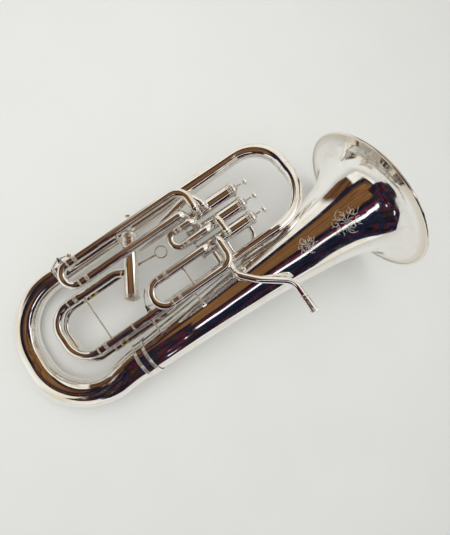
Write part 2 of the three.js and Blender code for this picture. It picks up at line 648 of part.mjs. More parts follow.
makeBell();
makeFerrule();
makeBow();
makeTop();
makeBranch();
valves.forEach((valve, i) => makeValve(valve, i + 1));
Object.entries(LEGS).forEach(([name, leg]) => makeLeg(name, leg));
makeStraightLeg();
Object.entries(SLIDES).forEach(([name, slide]) => makeCrook(`${name}_slide_crook`, slide));
Object.entries(LINKS).forEach(([name, link]) => makeLink(name, link));
makeLeadpipe();
makeReceiver();
makeBraces();
makeThumbRing();
makeWaterKeys();

const lie = new THREE.Group();
lie.rotation.set(
  THREE.MathUtils.degToRad(-LIE_ROLL), THREE.MathUtils.degToRad(-LIE_PITCH), 0, 'XYZ');
lie.add(horn);
const box = new THREE.Box3().setFromObject(lie, true);
lie.position.set(-(box.min.x + box.max.x) / 2, -(box.min.y + box.max.y) / 2, -box.min.z);

export default lie;
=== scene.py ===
"""Looks of the compensating euphonium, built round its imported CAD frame.

Sizes are millimetres in the horn's own axes: X out of the bell's mouth, Y from the bell towards
the outer branch, Z out of the front, with the rim's centre as origin. Centre lines and radii are
read from the CAD nodes; every tube is laid again along them with round sides and its rings.
"""

import json
import math

import bmesh
import bpy
import numpy as np
from mathutils import Matrix, Vector


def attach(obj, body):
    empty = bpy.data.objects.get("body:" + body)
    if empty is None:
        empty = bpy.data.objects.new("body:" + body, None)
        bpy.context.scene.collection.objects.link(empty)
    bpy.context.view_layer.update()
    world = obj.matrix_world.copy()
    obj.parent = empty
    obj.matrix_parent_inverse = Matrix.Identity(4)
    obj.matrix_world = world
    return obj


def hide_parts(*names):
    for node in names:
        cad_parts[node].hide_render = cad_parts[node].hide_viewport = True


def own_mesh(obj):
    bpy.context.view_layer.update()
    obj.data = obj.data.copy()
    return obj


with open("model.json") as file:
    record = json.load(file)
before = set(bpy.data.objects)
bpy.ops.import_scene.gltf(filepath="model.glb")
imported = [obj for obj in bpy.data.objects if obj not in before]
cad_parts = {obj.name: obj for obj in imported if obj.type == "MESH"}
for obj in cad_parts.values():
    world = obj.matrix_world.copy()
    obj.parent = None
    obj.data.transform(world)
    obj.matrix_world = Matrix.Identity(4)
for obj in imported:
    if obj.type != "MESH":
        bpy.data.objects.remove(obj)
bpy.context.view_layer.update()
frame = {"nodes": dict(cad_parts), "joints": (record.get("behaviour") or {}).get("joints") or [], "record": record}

MM = 0.001
RIM_MOUNT_RADIUS = 150.5
SHARP_CAD_EDGE = math.radians(50)  # sharper than the sides of an eight-sided CAD rod
SHARP_LOOK_EDGE = math.radians(34)
JOINTS = {joint["name"]: joint for joint in frame["joints"]}

# ---------------- the horn's own axes


def unit(vector):
    vector = np.asarray(vector, float)
    return vector / np.linalg.norm(vector)


def across(vectors, along):
    """The vectors without their part along a direction."""
    return vectors - np.outer(vectors @ along, along)


def cad_points(node):
    """A CAD node's vertices in the row frame, in metres."""
    mesh = frame["nodes"][node].data
    points = np.empty(len(mesh.vertices) * 3)
    mesh.vertices.foreach_get("co", points)
    return points.reshape(-1, 3)


FORWARD = -unit(JOINTS["valve_1_press"]["axis"])
FRONT = unit(JOINTS["main_water_key_open"]["axis"])
ACROSS = np.cross(FRONT, FORWARD)
AXES = np.array([FORWARD, ACROSS, FRONT])


def rim_centre():
    """The bell's mouth: the rim mount stands on the rim, this far out of the front."""
    mount = next(m for m in frame["record"]["mounts"] if m["name"] == "bell_rim")
    return np.array(mount["pos_m"]) - FRONT * RIM_MOUNT_RADIUS * MM


ORIGIN = rim_centre()


def to_row(points):
    """Horn millimetres to metres in the row frame."""
    return ORIGIN + np.asarray(points, float) @ AXES * MM


def to_horn(points):
    """Metres in the row frame to horn millimetres."""
    return (np.asarray(points, float) - ORIGIN) @ AXES.T / MM


def horn_points(node):
    return to_horn(cad_points(node))


def joint_axis(name):
    return unit(AXES @ np.array(JOINTS[name]["axis"]))


def extreme(node, direction, depth=0.3):
    """Middle of the CAD node's vertices that reach furthest along a direction."""
    points = horn_points(node)
    reach = points @ np.asarray(direction, float)
    return points[reach > reach.max() - depth].mean(axis=0)


# ---------------- reading the CAD tubes


class Ring:
    """One cross-section of a CAD tube."""

    def __init__(self, points):
        self.points = points
        self.centre = points.mean(axis=0)
        self.along = np.linalg.svd(points - self.centre)[2][-1]

    def radius(self):
        return np.linalg.norm(across(self.points - self.centre, self.along), axis=1).mean()


def open_cad_mesh(node):
    mesh = bmesh.new()
    mesh.from_mesh(frame["nodes"][node].data)
    bmesh.ops.remove_doubles(mesh, verts=mesh.verts, dist=0.002 * MM)
    mesh.normal_update()
    mesh.verts.index_update()
    mesh.faces.index_update()
    mesh.verts.ensure_lookup_table()
    mesh.faces.ensure_lookup_table()
    return mesh


def is_sharp(edge):
    return len(edge.link_faces) != 2 or edge.calc_face_angle() > SHARP_CAD_EDGE


def smooth_patches(mesh):
    """Groups of faces bounded by sharp edges, each a list of face numbers."""
    seen = set()
    for face in mesh.faces:
        if face.index in seen:
            continue
        seen.add(face.index)
        patch = [face.index]
        for number in patch:
            for edge in mesh.faces[number].edges:
                if is_sharp(edge):
                    continue
                for other in edge.link_faces:
                    if other.index not in seen:
                        seen.add(other.index)
                        patch.append(other.index)
        yield patch


def grow(start, neighbours):
    """Rows of vertex numbers, each one step further from the start row."""
    rows = [sorted(start)]
    seen = set(start)
    while rows[-1]:
        row = sorted({n for v in rows[-1] for n in neighbours[v]} - seen)
        seen.update(row)
        rows.append(row)
    return rows[:-1]


def linked(edges):
    """The vertices that each vertex shares an edge with."""
    links = {}
    for edge in edges:
        a, b = edge.verts[0].index, edge.verts[1].index
        links.setdefault(a, set()).add(b)
        links.setdefault(b, set()).add(a)
    return links


def wall_rings(mesh, patch):
    """The patch's rows of vertices, starting from one of its bounding loops."""
    inside = set(patch)
    edges = [edge for number in patch for edge in mesh.faces[number].edges]
    border = linked(e for e in edges if sum(f.index in inside for f in e.link_faces) == 1)
    if not border:
        return []
    loop = [v for row in grow([min(border)], border) for v in row]
    rows = grow(loop, linked(edges))
    return [Ring(to_horn([mesh.verts[v].co for v in row])) for row in rows]


def faces_out(mesh, patch, rings):
    face = mesh.faces[patch[0]]
    middle = to_horn(face.calc_center_median())
    nearest = min(rings, key=lambda ring: np.linalg.norm(ring.centre - middle))
    return (middle - nearest.centre) @ (AXES @ np.array(face.normal)) > 0


def aim(rings):
    """Points each ring's direction along the tube; a trimmed end ring takes its straight part's."""
    steps = [unit(b.centre - a.centre) for a, b in zip(rings, rings[1:])]
    for ring, step in zip(rings, steps + steps[-1:]):
        if ring.along @ step < 0:
            ring.along = -ring.along
    for end, beside, step in ((0, 1, steps[0]), (-1, -2, steps[-1])):
        if len(rings) == 2 or rings[beside].along @ step > 0.999:
            rings[end].along = step
    return rings


def walls(node, outward=True):
    """The CAD tube's outer (or inner) walls, each a list of rings from end to end."""
    mesh = open_cad_mesh(node)
    found = []
    for patch in smooth_patches(mesh):
        rings = wall_rings(mesh, patch)
        if len(rings) < 2 or np.linalg.norm(rings[0].centre - rings[-1].centre) < 0.5:
            continue
        if faces_out(mesh, patch, rings) == outward:
            found.append(aim(rings))
    mesh.free()
    return found


# ---------------- smooth centre lines


class Line:
    """A smooth centre line with frames that turn along it without twisting."""

    STEP = 1.0

    def __init__(self, centres, alongs):
        points = []
        tangents = []
        for a, b, ta, tb in zip(centres, centres[1:], alongs, alongs[1:]):
            chord = np.linalg.norm(b - a)
            turn = math.acos(max(-1.0, min(1.0, float(ta @ tb))))
            pull = chord if turn < 0.01 else 2 * chord * math.tan(turn / 4) / math.sin(turn / 2)
            share = np.linspace(0, 1, max(2, int(chord / self.STEP)) + 1)[:, None]
            points.append(self.curve(a, b, ta * pull, tb * pull, share)[:-1])
            tangents.append(self.slope(a, b, ta * pull, tb * pull, share)[:-1])
        points.append(centres[-1][None])
        tangents.append(alongs[-1][None])
        self.points = np.concatenate(points)
        tangents = np.concatenate(tangents)
        self.tangents = tangents / np.linalg.norm(tangents, axis=1)[:, None]
        gaps = np.linalg.norm(np.diff(self.points, axis=0), axis=1)
        self.at = np.concatenate([[0], np.cumsum(gaps)])
        self.length = self.at[-1]
        self.sides = self.carry_sides()

    @staticmethod
    def curve(a, b, da, db, t):
        return ((1 + 2 * t) * (1 - t) ** 2 * a + t * (1 - t) ** 2 * da
                + t * t * (3 - 2 * t) * b + t * t * (t - 1) * db)

    @staticmethod
    def slope(a, b, da, db, t):
        return (6 * t * (t - 1) * a + (1 - t) * (1 - 3 * t) * da
                + 6 * t * (1 - t) * b + t * (3 * t - 2) * db)

    def carry_sides(self):
        first = self.tangents[0]
        hint = np.array([0.0, 0.0, 1.0]) if abs(first[2]) < 0.9 else np.array([0.0, 1.0, 0.0])
        side = unit(hint - first * (hint @ first))
        sides = [side]
        for tangent in self.tangents[1:]:
            side = unit(side - tangent * (side @ tangent))
            sides.append(side)
        return np.array(sides)

    def frames(self, distance):
        """Centres, two cross directions and the direction; it runs straight on past an end."""
        distance = np.asarray(distance, float)
        held = np.clip(distance, 0, self.length)
        centres, tangents, sides = (
            np.stack([np.interp(held, self.at, values[:, k]) for k in range(3)], axis=1)
            for values in (self.points, self.tangents, self.sides))
        tangents /= np.linalg.norm(tangents, axis=1)[:, None]
        sides -= tangents * (sides * tangents).sum(axis=1)[:, None]
        sides /= np.linalg.norm(sides, axis=1)[:, None]
        centres = centres + tangents * (distance - held)[:, None]
        return centres, sides, np.cross(tangents, sides), tangents

    def nearest(self, point):
        """Distance along the line of its place beside a point."""
        k = int(np.argmin(np.linalg.norm(self.points - point, axis=1)))
        return float(self.at[k] + (point - self.points[k]) @ self.tangents[k])


def line_of(rings):
    return Line([r.centre for r in rings], [r.along for r in rings])


def straight(start, end):
    start, end = np.asarray(start, float), np.asarray(end, float)
    along = unit(end - start)
    return Line([start, end], [along, along])


def curved(points):
    """A line through points, tangent at each to the chord of its neighbours."""
    points = [np.asarray(p, float) for p in points]
    padded = [points[0]] + points + [points[-1]]
    return Line(points, [unit(c - a) for a, c in zip(padded, padded[2:])])


# ---------------- meshes


def sweep_points(line, profile, sides, ripple=None):
    """Rings of points round a line. profile is [distance, radius] rows."""
    profile = np.asarray(profile, float)
    centres, side, other, _ = line.frames(profile[:, 0])
    angle = np.linspace(0, 2 * math.pi, sides, endpoint=False)
    radius = np.repeat(profile[:, 1][:, None], sides, axis=1)
    if ripple is not None:
        radius = radius + ripple(profile, angle)
    angle = angle[None, :, None]
    circle = np.cos(angle) * side[:, None] + np.sin(angle) * other[:, None]
    return centres[:, None] + radius[:, :, None] * circle


def grid_faces(rows, sides, closed):
    """Quads between rows of points; open sweeps get a flat face at each end."""
    row = np.arange(rows if closed else rows - 1)
    column = np.arange(sides)
    a = row[:, None] * sides + column[None]
    b = row[:, None] * sides + (column[None] + 1) % sides
    step = (row[:, None] + 1) % rows * sides
    c = step + (column[None] + 1) % sides
    d = step + column[None]
    faces = np.stack([a, d, c, b], axis=-1).reshape(-1, 4).tolist()
    if not closed:
        faces.append(list(range(sides)))
        faces.append([(rows - 1) * sides + k for k in reversed(range(sides))])
    return faces


def facing_out(points, faces):
    """The faces, turned over if they would enclose a negative volume."""
    volume = 0.0
    middle = points.mean(axis=0)
    for face in faces:
        corners = points[face] - middle
        fan = np.cross(corners[1:-1], corners[2:])
        volume += float((fan @ corners[0]).sum())
    return faces if volume > 0 else [face[::-1] for face in faces]


class Body:
    """Collects the shells of one piece, in horn millimetres."""

    def __init__(self):
        self.points = []
        self.faces = []
        self.count = 0

    def add(self, points, faces):
        points = np.asarray(points, float).reshape(-1, 3)
        turned = facing_out(points, faces)
        self.faces += [[i + self.count for i in face] for face in turned]
        self.points.append(points)
        self.count += len(points)
        return self

    def sweep(self, line, profile, sides=48, closed=False, ripple=None):
        points = sweep_points(line, profile, sides, ripple)
        return self.add(points, grid_faces(len(profile), sides, closed))


def make_piece(name, body, shape, look, nodes=()):
    """One visible piece, riding on a body and standing in for CAD nodes."""
    mesh = bpy.data.meshes.new(name)
    mesh.from_pydata(to_row(np.concatenate(shape.points)).tolist(), [], shape.faces)
    mesh.polygons.foreach_set("use_smooth", [True] * len(mesh.polygons))
    mesh.set_sharp_from_angle(angle=SHARP_LOOK_EDGE)
    mesh.materials.append(look)
    piece = bpy.data.objects.new(name, mesh)
    bpy.context.scene.collection.objects.link(piece)
    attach(piece, body)
    if nodes:
        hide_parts(*nodes)
    return piece


def make_fine(node, body, shape, look):
    """The piece that takes a CAD node's place."""
    return make_piece(f"{node}.fine", body, shape, look, [node])


# ---------------- profiles


def smooth_radii(rings, line, reach=24):
    """Radius by distance along the line, with the corners between CAD sections rounded off."""
    at = [line.nearest(r.centre) for r in rings]
    places = np.arange(0, line.length + 1, 1.0)
    values = np.interp(places, at, [r.radius() for r in rings])
    weights = np.hanning(2 * reach + 1)
    before = 2 * values[0] - values[reach:0:-1]
    after = 2 * values[-1] - values[-2:-reach - 2:-1]
    if len(before) == reach and len(after) == reach:
        padded = np.concatenate([before, values, after])
        values = np.convolve(padded, weights / weights.sum(), mode="valid")
    return lambda d: np.interp(d, places, values)


class Bead:
    """A raised ring on a tube: where, how wide, how high."""

    def __init__(self, at, half_width, height):
        self.at = at
        self.half_width = half_width
        self.height = height

    def places(self):
        return [self.at + self.half_width * math.cos(a) for a in np.linspace(math.pi, 0, 9)]

    def rise(self, d):
        share = np.clip(1 - ((d - self.at) / self.half_width) ** 2, 0, None)
        return self.height * np.sqrt(share)


def tube_outside(start, end, outside, beads, step):
    places = set(np.linspace(start, end, max(2, int((end - start) / step)) + 1).tolist())
    for bead in beads:
        places.update(p for p in bead.places() if start < p < end)
    places = np.array(sorted(places))
    radii = outside(places) + sum((bead.rise(places) for bead in beads), np.zeros(len(places)))
    return np.stack([places, radii], axis=1)


def tube_profile(start, end, outside, wall, beads=(), step=2.5):
    outer = tube_outside(start, end, outside, beads, step)
    inner_places = np.linspace(end, start, max(2, int((end - start) / (2 * step))) + 1)
    inner = np.stack([inner_places, outside(inner_places) - wall], axis=1)
    return np.concatenate([outer, inner])


def meet_casing(points, line, valve, at_end):
    """Moves a tube's end rings along the tube until they meet the round valve casing."""
    centres, _, _, along = line.frames([line.length if at_end else 0.0])
    direction = along[0] * (1 if at_end else -1)
    gap = (points - centres[0]) @ direction
    for row in np.where(np.abs(gap.mean(axis=1)) < 1e-6)[0]:
        for k in range(points.shape[1]):
            points[row, k] += direction * valve.reach(points[row, k], direction)


# ---------------- materials


class Shading:
    """The nodes of a material or a world, and helpers that add to them."""

    def __init__(self, tree):
        self.nodes = tree.nodes
        self.links = tree.links

    def new(self, kind, inputs, output=0, **settings):
        """Adds a node with these settings and inputs, and gives back one of its outputs."""
        node = self.nodes.new("ShaderNode" + kind)
        for name, value in settings.items():
            setattr(node, name, value)
        for key, value in inputs.items():
            socket = node.inputs[key]
            if isinstance(value, bpy.types.NodeSocket):
                self.links.new(value, socket)
            else:
                socket.default_value = (*value, 1.0) if socket.type == "RGBA" else value
        return node.outputs[output]

    def math(self, operation, a, b=0.0):
        return self.new("Math", {0: a, 1: b}, operation=operation)

    def cloud(self, place, scale, detail, roughness=0.5, distortion=0.0):
        return self.new("TexNoise", {"Vector": place, "Scale": scale, "Detail": detail,
                                     "Roughness": roughness, "Distortion": distortion}, "Fac")

    def streaks(self, parts, scales, detail):
        """Noise over two directions, with a scale of its own along each."""
        place = {end: self.math("MULTIPLY", part, scale)
                 for end, part, scale in zip("XY", parts, scales)}
        return self.cloud(self.new("CombineXYZ", place), 1.0, detail)

    def grade(self, source, low, high, place_low=0.35, place_high=0.65, kind="LINEAR"):
        """The source's middle stretched to run from low to high."""
        return self.new("MapRange", {"Value": source, "From Min": place_low, "From Max": place_high,
                                     "To Min": low, "To Max": high}, interpolation_type=kind)

    def mix(self, share, a, b):
        """The color a, or b where the share is 1."""
        factor, color_a, color_b, result = 0, 6, 7, 2
        return self.new("Mix", {factor: share, color_a: a, color_b: b}, result, data_type="RGBA")

    def ramp(self, source, stops):
        node = self.nodes.new("ShaderNodeValToRGB")
        while len(node.color_ramp.elements) < len(stops):
            node.color_ramp.elements.new(0.5)
        for element, (place, value) in zip(node.color_ramp.elements, stops):
            element.position = place
            element.color = (*value, 1.0)
        self.links.new(source, node.inputs["Fac"])
        return node.outputs["Color"]


class Look(Shading):
    """A procedural material, patterned in the piece's own coordinates."""

    STREAK_TURN = (0.3, 0.5, 0.6)  # hairlines and streaks run slantwise

    def __init__(self, name, **values):
        self.material = bpy.data.materials.new(name)
        self.material.use_nodes = True
        super().__init__(self.material.node_tree)
        self.shader = self.nodes["Principled BSDF"]
        self.place = self.new("TexCoord", {}, "Object")
        for key, value in values.items():
            self.shader.inputs[key.replace("_", " ")].default_value = value

    def noise(self, scale, detail=3.0, roughness=0.5, stretch=None, distortion=0.0):
        place = self.place
        if stretch:
            place = self.new("Mapping", {"Vector": place, "Scale": stretch,
                                         "Rotation": self.STREAK_TURN})
        return self.cloud(place, scale, detail, roughness, distortion)

    def parts(self, *names):
        """The coordinates with these names."""
        split = self.new("SeparateXYZ", {"Vector": self.place}).node
        return [split.outputs[name] for name in names]

    def bump(self, height, depth, below=None):
        """Relief of a depth in metres, on top of any earlier relief."""
        inputs = {"Strength": 1.0, "Distance": depth, "Height": height}
        if below is not None:
            inputs["Normal"] = below
        return self.new("Bump", inputs)

    def finish(self, color, roughness, normal):
        for name, source in (("Base Color", color), ("Roughness", roughness), ("Normal", normal)):
            if source is not None:
                self.links.new(source, self.shader.inputs[name])
        return self.material

    def swing(self, noise, size):
        """Noise moved to lie about zero, times a size."""
        return self.math("MULTIPLY", self.math("SUBTRACT", noise, 0.5), size)

    def glow(self, color, strength):
        """Makes the material shine with a color times a strength."""
        tone = self.new("VectorMath", {0: color, "Scale": strength}, operation="SCALE")
        light = self.new("Emission", {"Color": tone})
        self.links.new(light, self.nodes["Material Output"].inputs["Surface"])
        return self.material


def silver_look(name, bright, warm, tarnish, polish, smudge):
    """Silver plate: soft colour clouds, tarnish where hands don't rub, smudges and hairlines."""
    look = Look(name, Metallic=1.0)
    clouds = look.grade(look.noise(9, 3), 0, 1)
    base = look.mix(clouds, bright, warm)
    stain = look.grade(look.noise(34, 6, 0.6, distortion=0.6), 0, 0.35, 0.52, 0.74)
    hollow = look.grade(look.new("NewGeometry", {}, "Pointiness"), 1.0, 0.0, 0.44, 0.5)
    dirt = look.math("MAXIMUM", stain, look.math("MULTIPLY", hollow, 0.5))
    base = look.mix(dirt, base, tarnish)
    marks = look.grade(look.noise(75, 5, 0.6), polish, polish + smudge, 0.45, 0.75)
    hairs = look.noise(900, 2, 0.5, stretch=(1, 0.03, 0.3))
    rough = look.math("ADD", marks, look.math("MULTIPLY", hairs, smudge * 0.35))
    waves = look.bump(look.noise(22, 2), 0.00004)
    relief = look.bump(hairs, 0.0000025, waves)
    return look.finish(base, rough, relief)


def grained_look(name, noise, stops, rough, depth, **values):
    """A material colored, roughened and raised by one noise."""
    look = Look(name, **values)
    grain = look.noise(**noise)
    return look.finish(look.ramp(grain, stops), look.grade(grain, *rough), look.bump(grain, depth))


# each with its bright, warm and tarnished colors, its roughness and how much smudges add to it
SILVER = silver_look("silver_plate", (0.965, 0.955, 0.935), (0.94, 0.915, 0.865),
                     (0.72, 0.60, 0.42), 0.035, 0.10)
SILVER_HANDLED = silver_look("silver_plate_handled", (0.955, 0.94, 0.91), (0.92, 0.89, 0.83),
                             (0.66, 0.53, 0.36), 0.07, 0.16)
NICKEL = silver_look("nickel_silver", (0.78, 0.76, 0.71), (0.72, 0.69, 0.62),
                     (0.5, 0.42, 0.3), 0.16, 0.12)
ENGRAVED = silver_look("engraved_silver", (0.95, 0.94, 0.91), (0.86, 0.84, 0.80),
                       (0.6, 0.55, 0.46), 0.42, 0.2)
BRASS = silver_look("brass_tube", (0.86, 0.66, 0.26), (0.80, 0.58, 0.22),
                    (0.46, 0.32, 0.14), 0.14, 0.16)
CORK = grained_look("cork", {"scale": 900, "detail": 5, "roughness": 0.7},
                    [(0.3, (0.16, 0.06, 0.02)), (0.5, (0.52, 0.27, 0.09)),
                     (0.75, (0.72, 0.45, 0.18))], (0.75, 0.95), 0.0002, Metallic=0.0)
FELT = grained_look("felt", {"scale": 2400, "detail": 6, "roughness": 0.8, "distortion": 1.5},
                    [(0.35, (0.30, 0.29, 0.27)), (0.65, (0.62, 0.60, 0.56))],
                    (0.85, 1.0), 0.00025, Metallic=0.0, Sheen_Weight=0.6)
PEARL = grained_look("pearl", {"scale": 260, "detail": 4, "roughness": 0.6, "distortion": 2.0},
                     [(0.3, (0.72, 0.70, 0.74)), (0.5, (0.90, 0.89, 0.86)),
                      (0.7, (0.80, 0.86, 0.84))],
                     (0.12, 0.3), 0.00005, Metallic=0.0, Coat_Weight=1.0, Coat_Roughness=0.04)
STEEL = grained_look("spring_steel",
                     {"scale": 1500, "detail": 3, "roughness": 0.6, "stretch": (1, 0.1, 1)},
                     [(0.3, (0.30, 0.30, 0.32)), (0.7, (0.55, 0.55, 0.57))],
                     (0.2, 0.42), 0.00001, Metallic=1.0)

# ---------------- valves


class Valve:
    """One valve's axis, from the casing's upper end towards its bottom cap."""

    def __init__(self, number):
        self.number = number
        rings = walls(f"valve_casing_{number}")[0]
        down = joint_axis(f"valve_{number}_press")
        if (rings[-1].centre - rings[0].centre) @ down < 0:
            rings = rings[::-1]
        self.down = down
        self.top = rings[0].centre
        self.length = float((rings[-1].centre - self.top) @ down)
        self.radius = rings[0].radius()
        self.line = straight(self.top, self.top + down * self.length)

    def span(self, node):
        """Where a CAD node starts and ends along the valve, and its largest radius."""
        off = horn_points(f"{node}_{self.number}") - self.top
        along = off @ self.down
        radius = np.linalg.norm(across(off, self.down), axis=1).max()
        return along.min(), along.max(), radius

    def reach(self, point, direction):
        """How far a point travels along a direction until it is inside the casing's wall."""
        sink = 0.4
        off, flat = across(np.array([point - self.top, direction]), self.down)
        a = flat @ flat
        b = 2 * off @ flat
        c = off @ off - (self.radius - sink) ** 2
        inside = b * b - 4 * a * c
        return (-b - math.sqrt(inside)) / (2 * a) if inside > 0 else 0.0


VALVES = {number: Valve(number) for number in (1, 2, 3, 4)}
CASING_WALL = 0.8
CAP_GROOVES = 48
CAP_SIDES = 4 * CAP_GROOVES
GROOVE_DEPTH = 0.4


def make_casing(valve):
    end = valve.length
    beads = [Bead(2.2, 0.9, 0.5), Bead(4.6, 0.7, 0.35), Bead(end - 4.6, 0.7, 0.35),
             Bead(end - 2.2, 0.9, 0.5)]
    profile = tube_profile(0, end, lambda d: valve.radius + 0 * d, CASING_WALL, beads, step=8)
    shape = Body().sweep(valve.line, profile, 64, closed=True)
    name = f"valve_casing_{valve.number}"
    make_fine(name, "horn", shape, SILVER)


def make_cap(name, valve, profile, low, high):
    """A cap turned from a profile, with knurled grooves round its band between low and high."""
    def grooves(profile, angle):
        place, radius = profile.T
        banded = ((place > low) & (place < high) & (radius > 9)).astype(float)
        wave = (0.5 + 0.5 * np.cos(CAP_GROOVES * angle)) ** 2
        return -GROOVE_DEPTH * banded[:, None] * wave

    shape = Body().sweep(valve.line, profile, CAP_SIDES, closed=True, ripple=grooves)
    make_fine(name, "horn", shape, SILVER_HANDLED)


def make_top_cap(valve):
    top, base, radius = valve.span("top_cap")
    hole = 3.4
    bore = valve.radius - CASING_WALL
    band = base - 6.2
    profile = [
        [base, bore], [base, radius - 0.5], [base - 0.3, radius - 0.1], [base - 0.8, radius],
        [base - 1.0, radius], [band + 0.9, radius], [band + 0.7, radius], [band, radius - 0.15],
        [band - 0.3, radius - 1.1], [band - 0.9, radius - 1.2], [band - 1.4, radius - 0.7],
        [band - 2.1, radius - 0.9], [band - 3.0, radius - 2.2], [band - 3.9, radius - 4.4],
        [top + 1.8, radius - 7.6], [top + 1.5, 6.2], [top + 0.5, 6.0], [top, 5.5], [top, hole],
        [top + 3, hole], [top + 3.2, bore],
    ]
    make_cap(f"top_cap_{valve.number}", valve, profile, band + 0.8, base - 0.9)


def make_bottom_cap(valve):
    base, top, radius = valve.span("bottom_cap")
    band = base + 5.4
    profile = [
        [base + 3, 0.5], [base + 3, valve.radius - 1.2], [base, valve.radius - 0.9],
        [base, radius - 0.4], [base + 0.3, radius], [base + 0.5, radius], [band - 0.6, radius],
        [band - 0.4, radius], [band, radius - 0.4], [band + 0.5, radius - 1.3],
        [band + 1.1, radius - 1.3], [band + 1.6, radius - 1.9], [band + 2.4, radius - 3.6],
        [band + 2.9, radius - 6.0], [band + 3.1, 5.0], [band + 3.2, 3.2], [top - 0.4, 2.8],
        [top, 2.0], [top, 0.5],
    ]
    make_cap(f"bottom_cap_{valve.number}", valve, profile, base + 0.4, band - 0.5)


def make_piston(valve):
    name = f"piston_{valve.number}"
    top, end, radius = valve.span("piston")
    profile = [[top, 4], [top, radius - 0.8], [top + 0.8, radius]]
    for place in (top + 8, end - 8):
        profile += [[place - 0.6, radius], [place - 0.4, radius - 0.5], [place + 0.4, radius - 0.5],
                    [place + 0.6, radius]]
    profile += [[end - 0.8, radius], [end, radius - 0.8], [end, 4]]
    make_fine(name, f"valve_{valve.number}", Body().sweep(valve.line, profile, 48), NICKEL)


def make_spring(valve):
    """A coil of wire round the valve's axis, over the span of the CAD spring."""
    name = f"valve_spring_{valve.number}"
    top, end, radius = valve.span("valve_spring")
    wire = 0.7
    turns = 6
    loop = radius - wire
    _, side, other, _ = valve.line.frames([0])
    share = np.linspace(0, 1, 24 * turns + 1)
    angle = 2 * math.pi * turns * share
    height = top + wire + (end - top - 2 * wire) * share
    centres = (valve.top + np.outer(height, valve.down) + loop * np.outer(np.cos(angle), side[0])
               + loop * np.outer(np.sin(angle), other[0]))
    coil = curved(centres)
    places = np.linspace(0, coil.length, 24 * turns)
    profile = np.stack([places, np.full(len(places), wire)], axis=1)
    spring = make_fine(name, "horn", Body().sweep(coil, profile, 10), STEEL)
    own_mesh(spring)


def make_button(valve):
    """Stem, finger button with its inlay, and the felt under the button."""
    name = f"finger_button_{valve.number}"
    body = f"valve_{valve.number}"
    top, stem_end, radius = valve.span("finger_button")
    stem = 2.5
    inlay = radius - 1.7
    profile = [
        [stem_end, 1.0], [stem_end, stem], [top + 10.5, stem], [top + 10, stem + 0.5],
        [top + 8.6, stem + 0.5], [top + 8.2, stem + 0.3], [top + 6.6, stem + 0.4],
        [top + 5.6, stem + 1.6], [top + 4.6, radius - 2.4], [top + 3.9, radius - 0.6],
        [top + 3.3, radius], [top + 1.5, radius], [top + 0.7, radius - 0.25],
        [top + 0.3, radius - 0.8], [top + 0.4, inlay + 0.2], [top + 1.3, inlay], [top + 1.3, 1.0],
    ]
    make_fine(name, body, Body().sweep(valve.line, profile, 64), SILVER_HANDLED)
    dome = [[top + 1.25, inlay - 0.1], [top + 0.5, inlay - 0.1]]
    dome += [[top + 0.1 + 0.4 * (r / inlay) ** 2, r] for r in (5.4, 4.4, 3.2, 1.8, 0.6)]
    make_piece(f"button_inlay_{valve.number}", body, Body().sweep(valve.line, dome, 48), PEARL)
    cap_top, _, _ = valve.span("top_cap")
    felt = [[cap_top - 0.05, 3.3], [cap_top - 0.05, 6.3], [cap_top - 0.5, 6.8],
            [cap_top - 1.5, 6.8], [cap_top - 2.0, 6.3], [cap_top - 2.0, 3.3]]
    make_piece(f"cap_felt_{valve.number}", "horn",
               Body().sweep(valve.line, felt, 40, closed=True), FELT)


for valve in VALVES.values():
    make_casing(valve)
    make_top_cap(valve)
    make_bottom_cap(valve)
    make_piston(valve)
    make_spring(valve)
    make_button(valve)

# ---------------- tubes


def make_tube(node, beads=(), wall=0.8, sides=48, start_valve=None, end_valve=None):
    """Lays a CAD tube again, from its end at the lower X. Beads are given from the start, or from
    the end when negative."""
    rings = walls(node)[0]
    if rings[0].centre[0] > rings[-1].centre[0]:
        rings = rings[::-1]
        for ring in rings:
            ring.along = -ring.along
    line = line_of(rings)
    outside = smooth_radii(rings, line)
    placed = [Bead(b.at if b.at >= 0 else line.length + b.at, b.half_width, b.height)
              for b in beads]
    profile = tube_profile(0, line.length, outside, wall, placed)
    points = sweep_points(line, profile, sides)
    for valve, at_end in ((start_valve, False), (end_valve, True)):
        if valve:
            meet_casing(points, line, VALVES[valve], at_end)
    shape = Body().add(points, grid_faces(len(profile), sides, closed=True))
    make_fine(node, "horn", shape, SILVER)
    return line, outside


make_tube("bottom_bow", wall=0.9, sides=96)
outer_line, outer_radius = make_tube("outer_branch", wall=0.9, sides=80)
top_line, top_radius = make_tube("top_bow", wall=0.7, sides=64)
branch_line, branch_radius = make_tube("first_branch", wall=0.7)
make_tube("leadpipe", wall=0.7, beads=[Bead(4, 1.0, 0.5)], start_valve=1)

for leg, number in (("main_slide_upper_leg", 4), ("first_slide_upper_leg", 1),
                    ("first_slide_lower_leg", 1), ("second_slide_upper_leg", 2),
                    ("second_slide_lower_leg", 2), ("third_slide_outer_leg", 3),
                    ("third_slide_inner_leg", 3), ("fourth_slide_upper_leg", 4),
                    ("fourth_slide_lower_leg", 1)):
    make_tube(leg, beads=[Bead(1.5, 1.5, 1.1), Bead(-3.4, 1.4, 0.8)], end_valve=number)
make_tube("main_slide_lower_leg", beads=[Bead(1.5, 1.5, 1.1), Bead(-2.0, 1.5, 0.9)])
for link, start_valve, end_valve in (("valve_link_1_2", 2, 1), ("valve_link_3_4", 4, 3),
                                     ("valve_return_tube", 4, 3), ("compensating_loop", 1, 1)):
    make_tube(link, [Bead(3, 1.2, 0.6), Bead(-3, 1.2, 0.6)], start_valve=start_valve,
              end_valve=end_valve)

# ---------------- bell


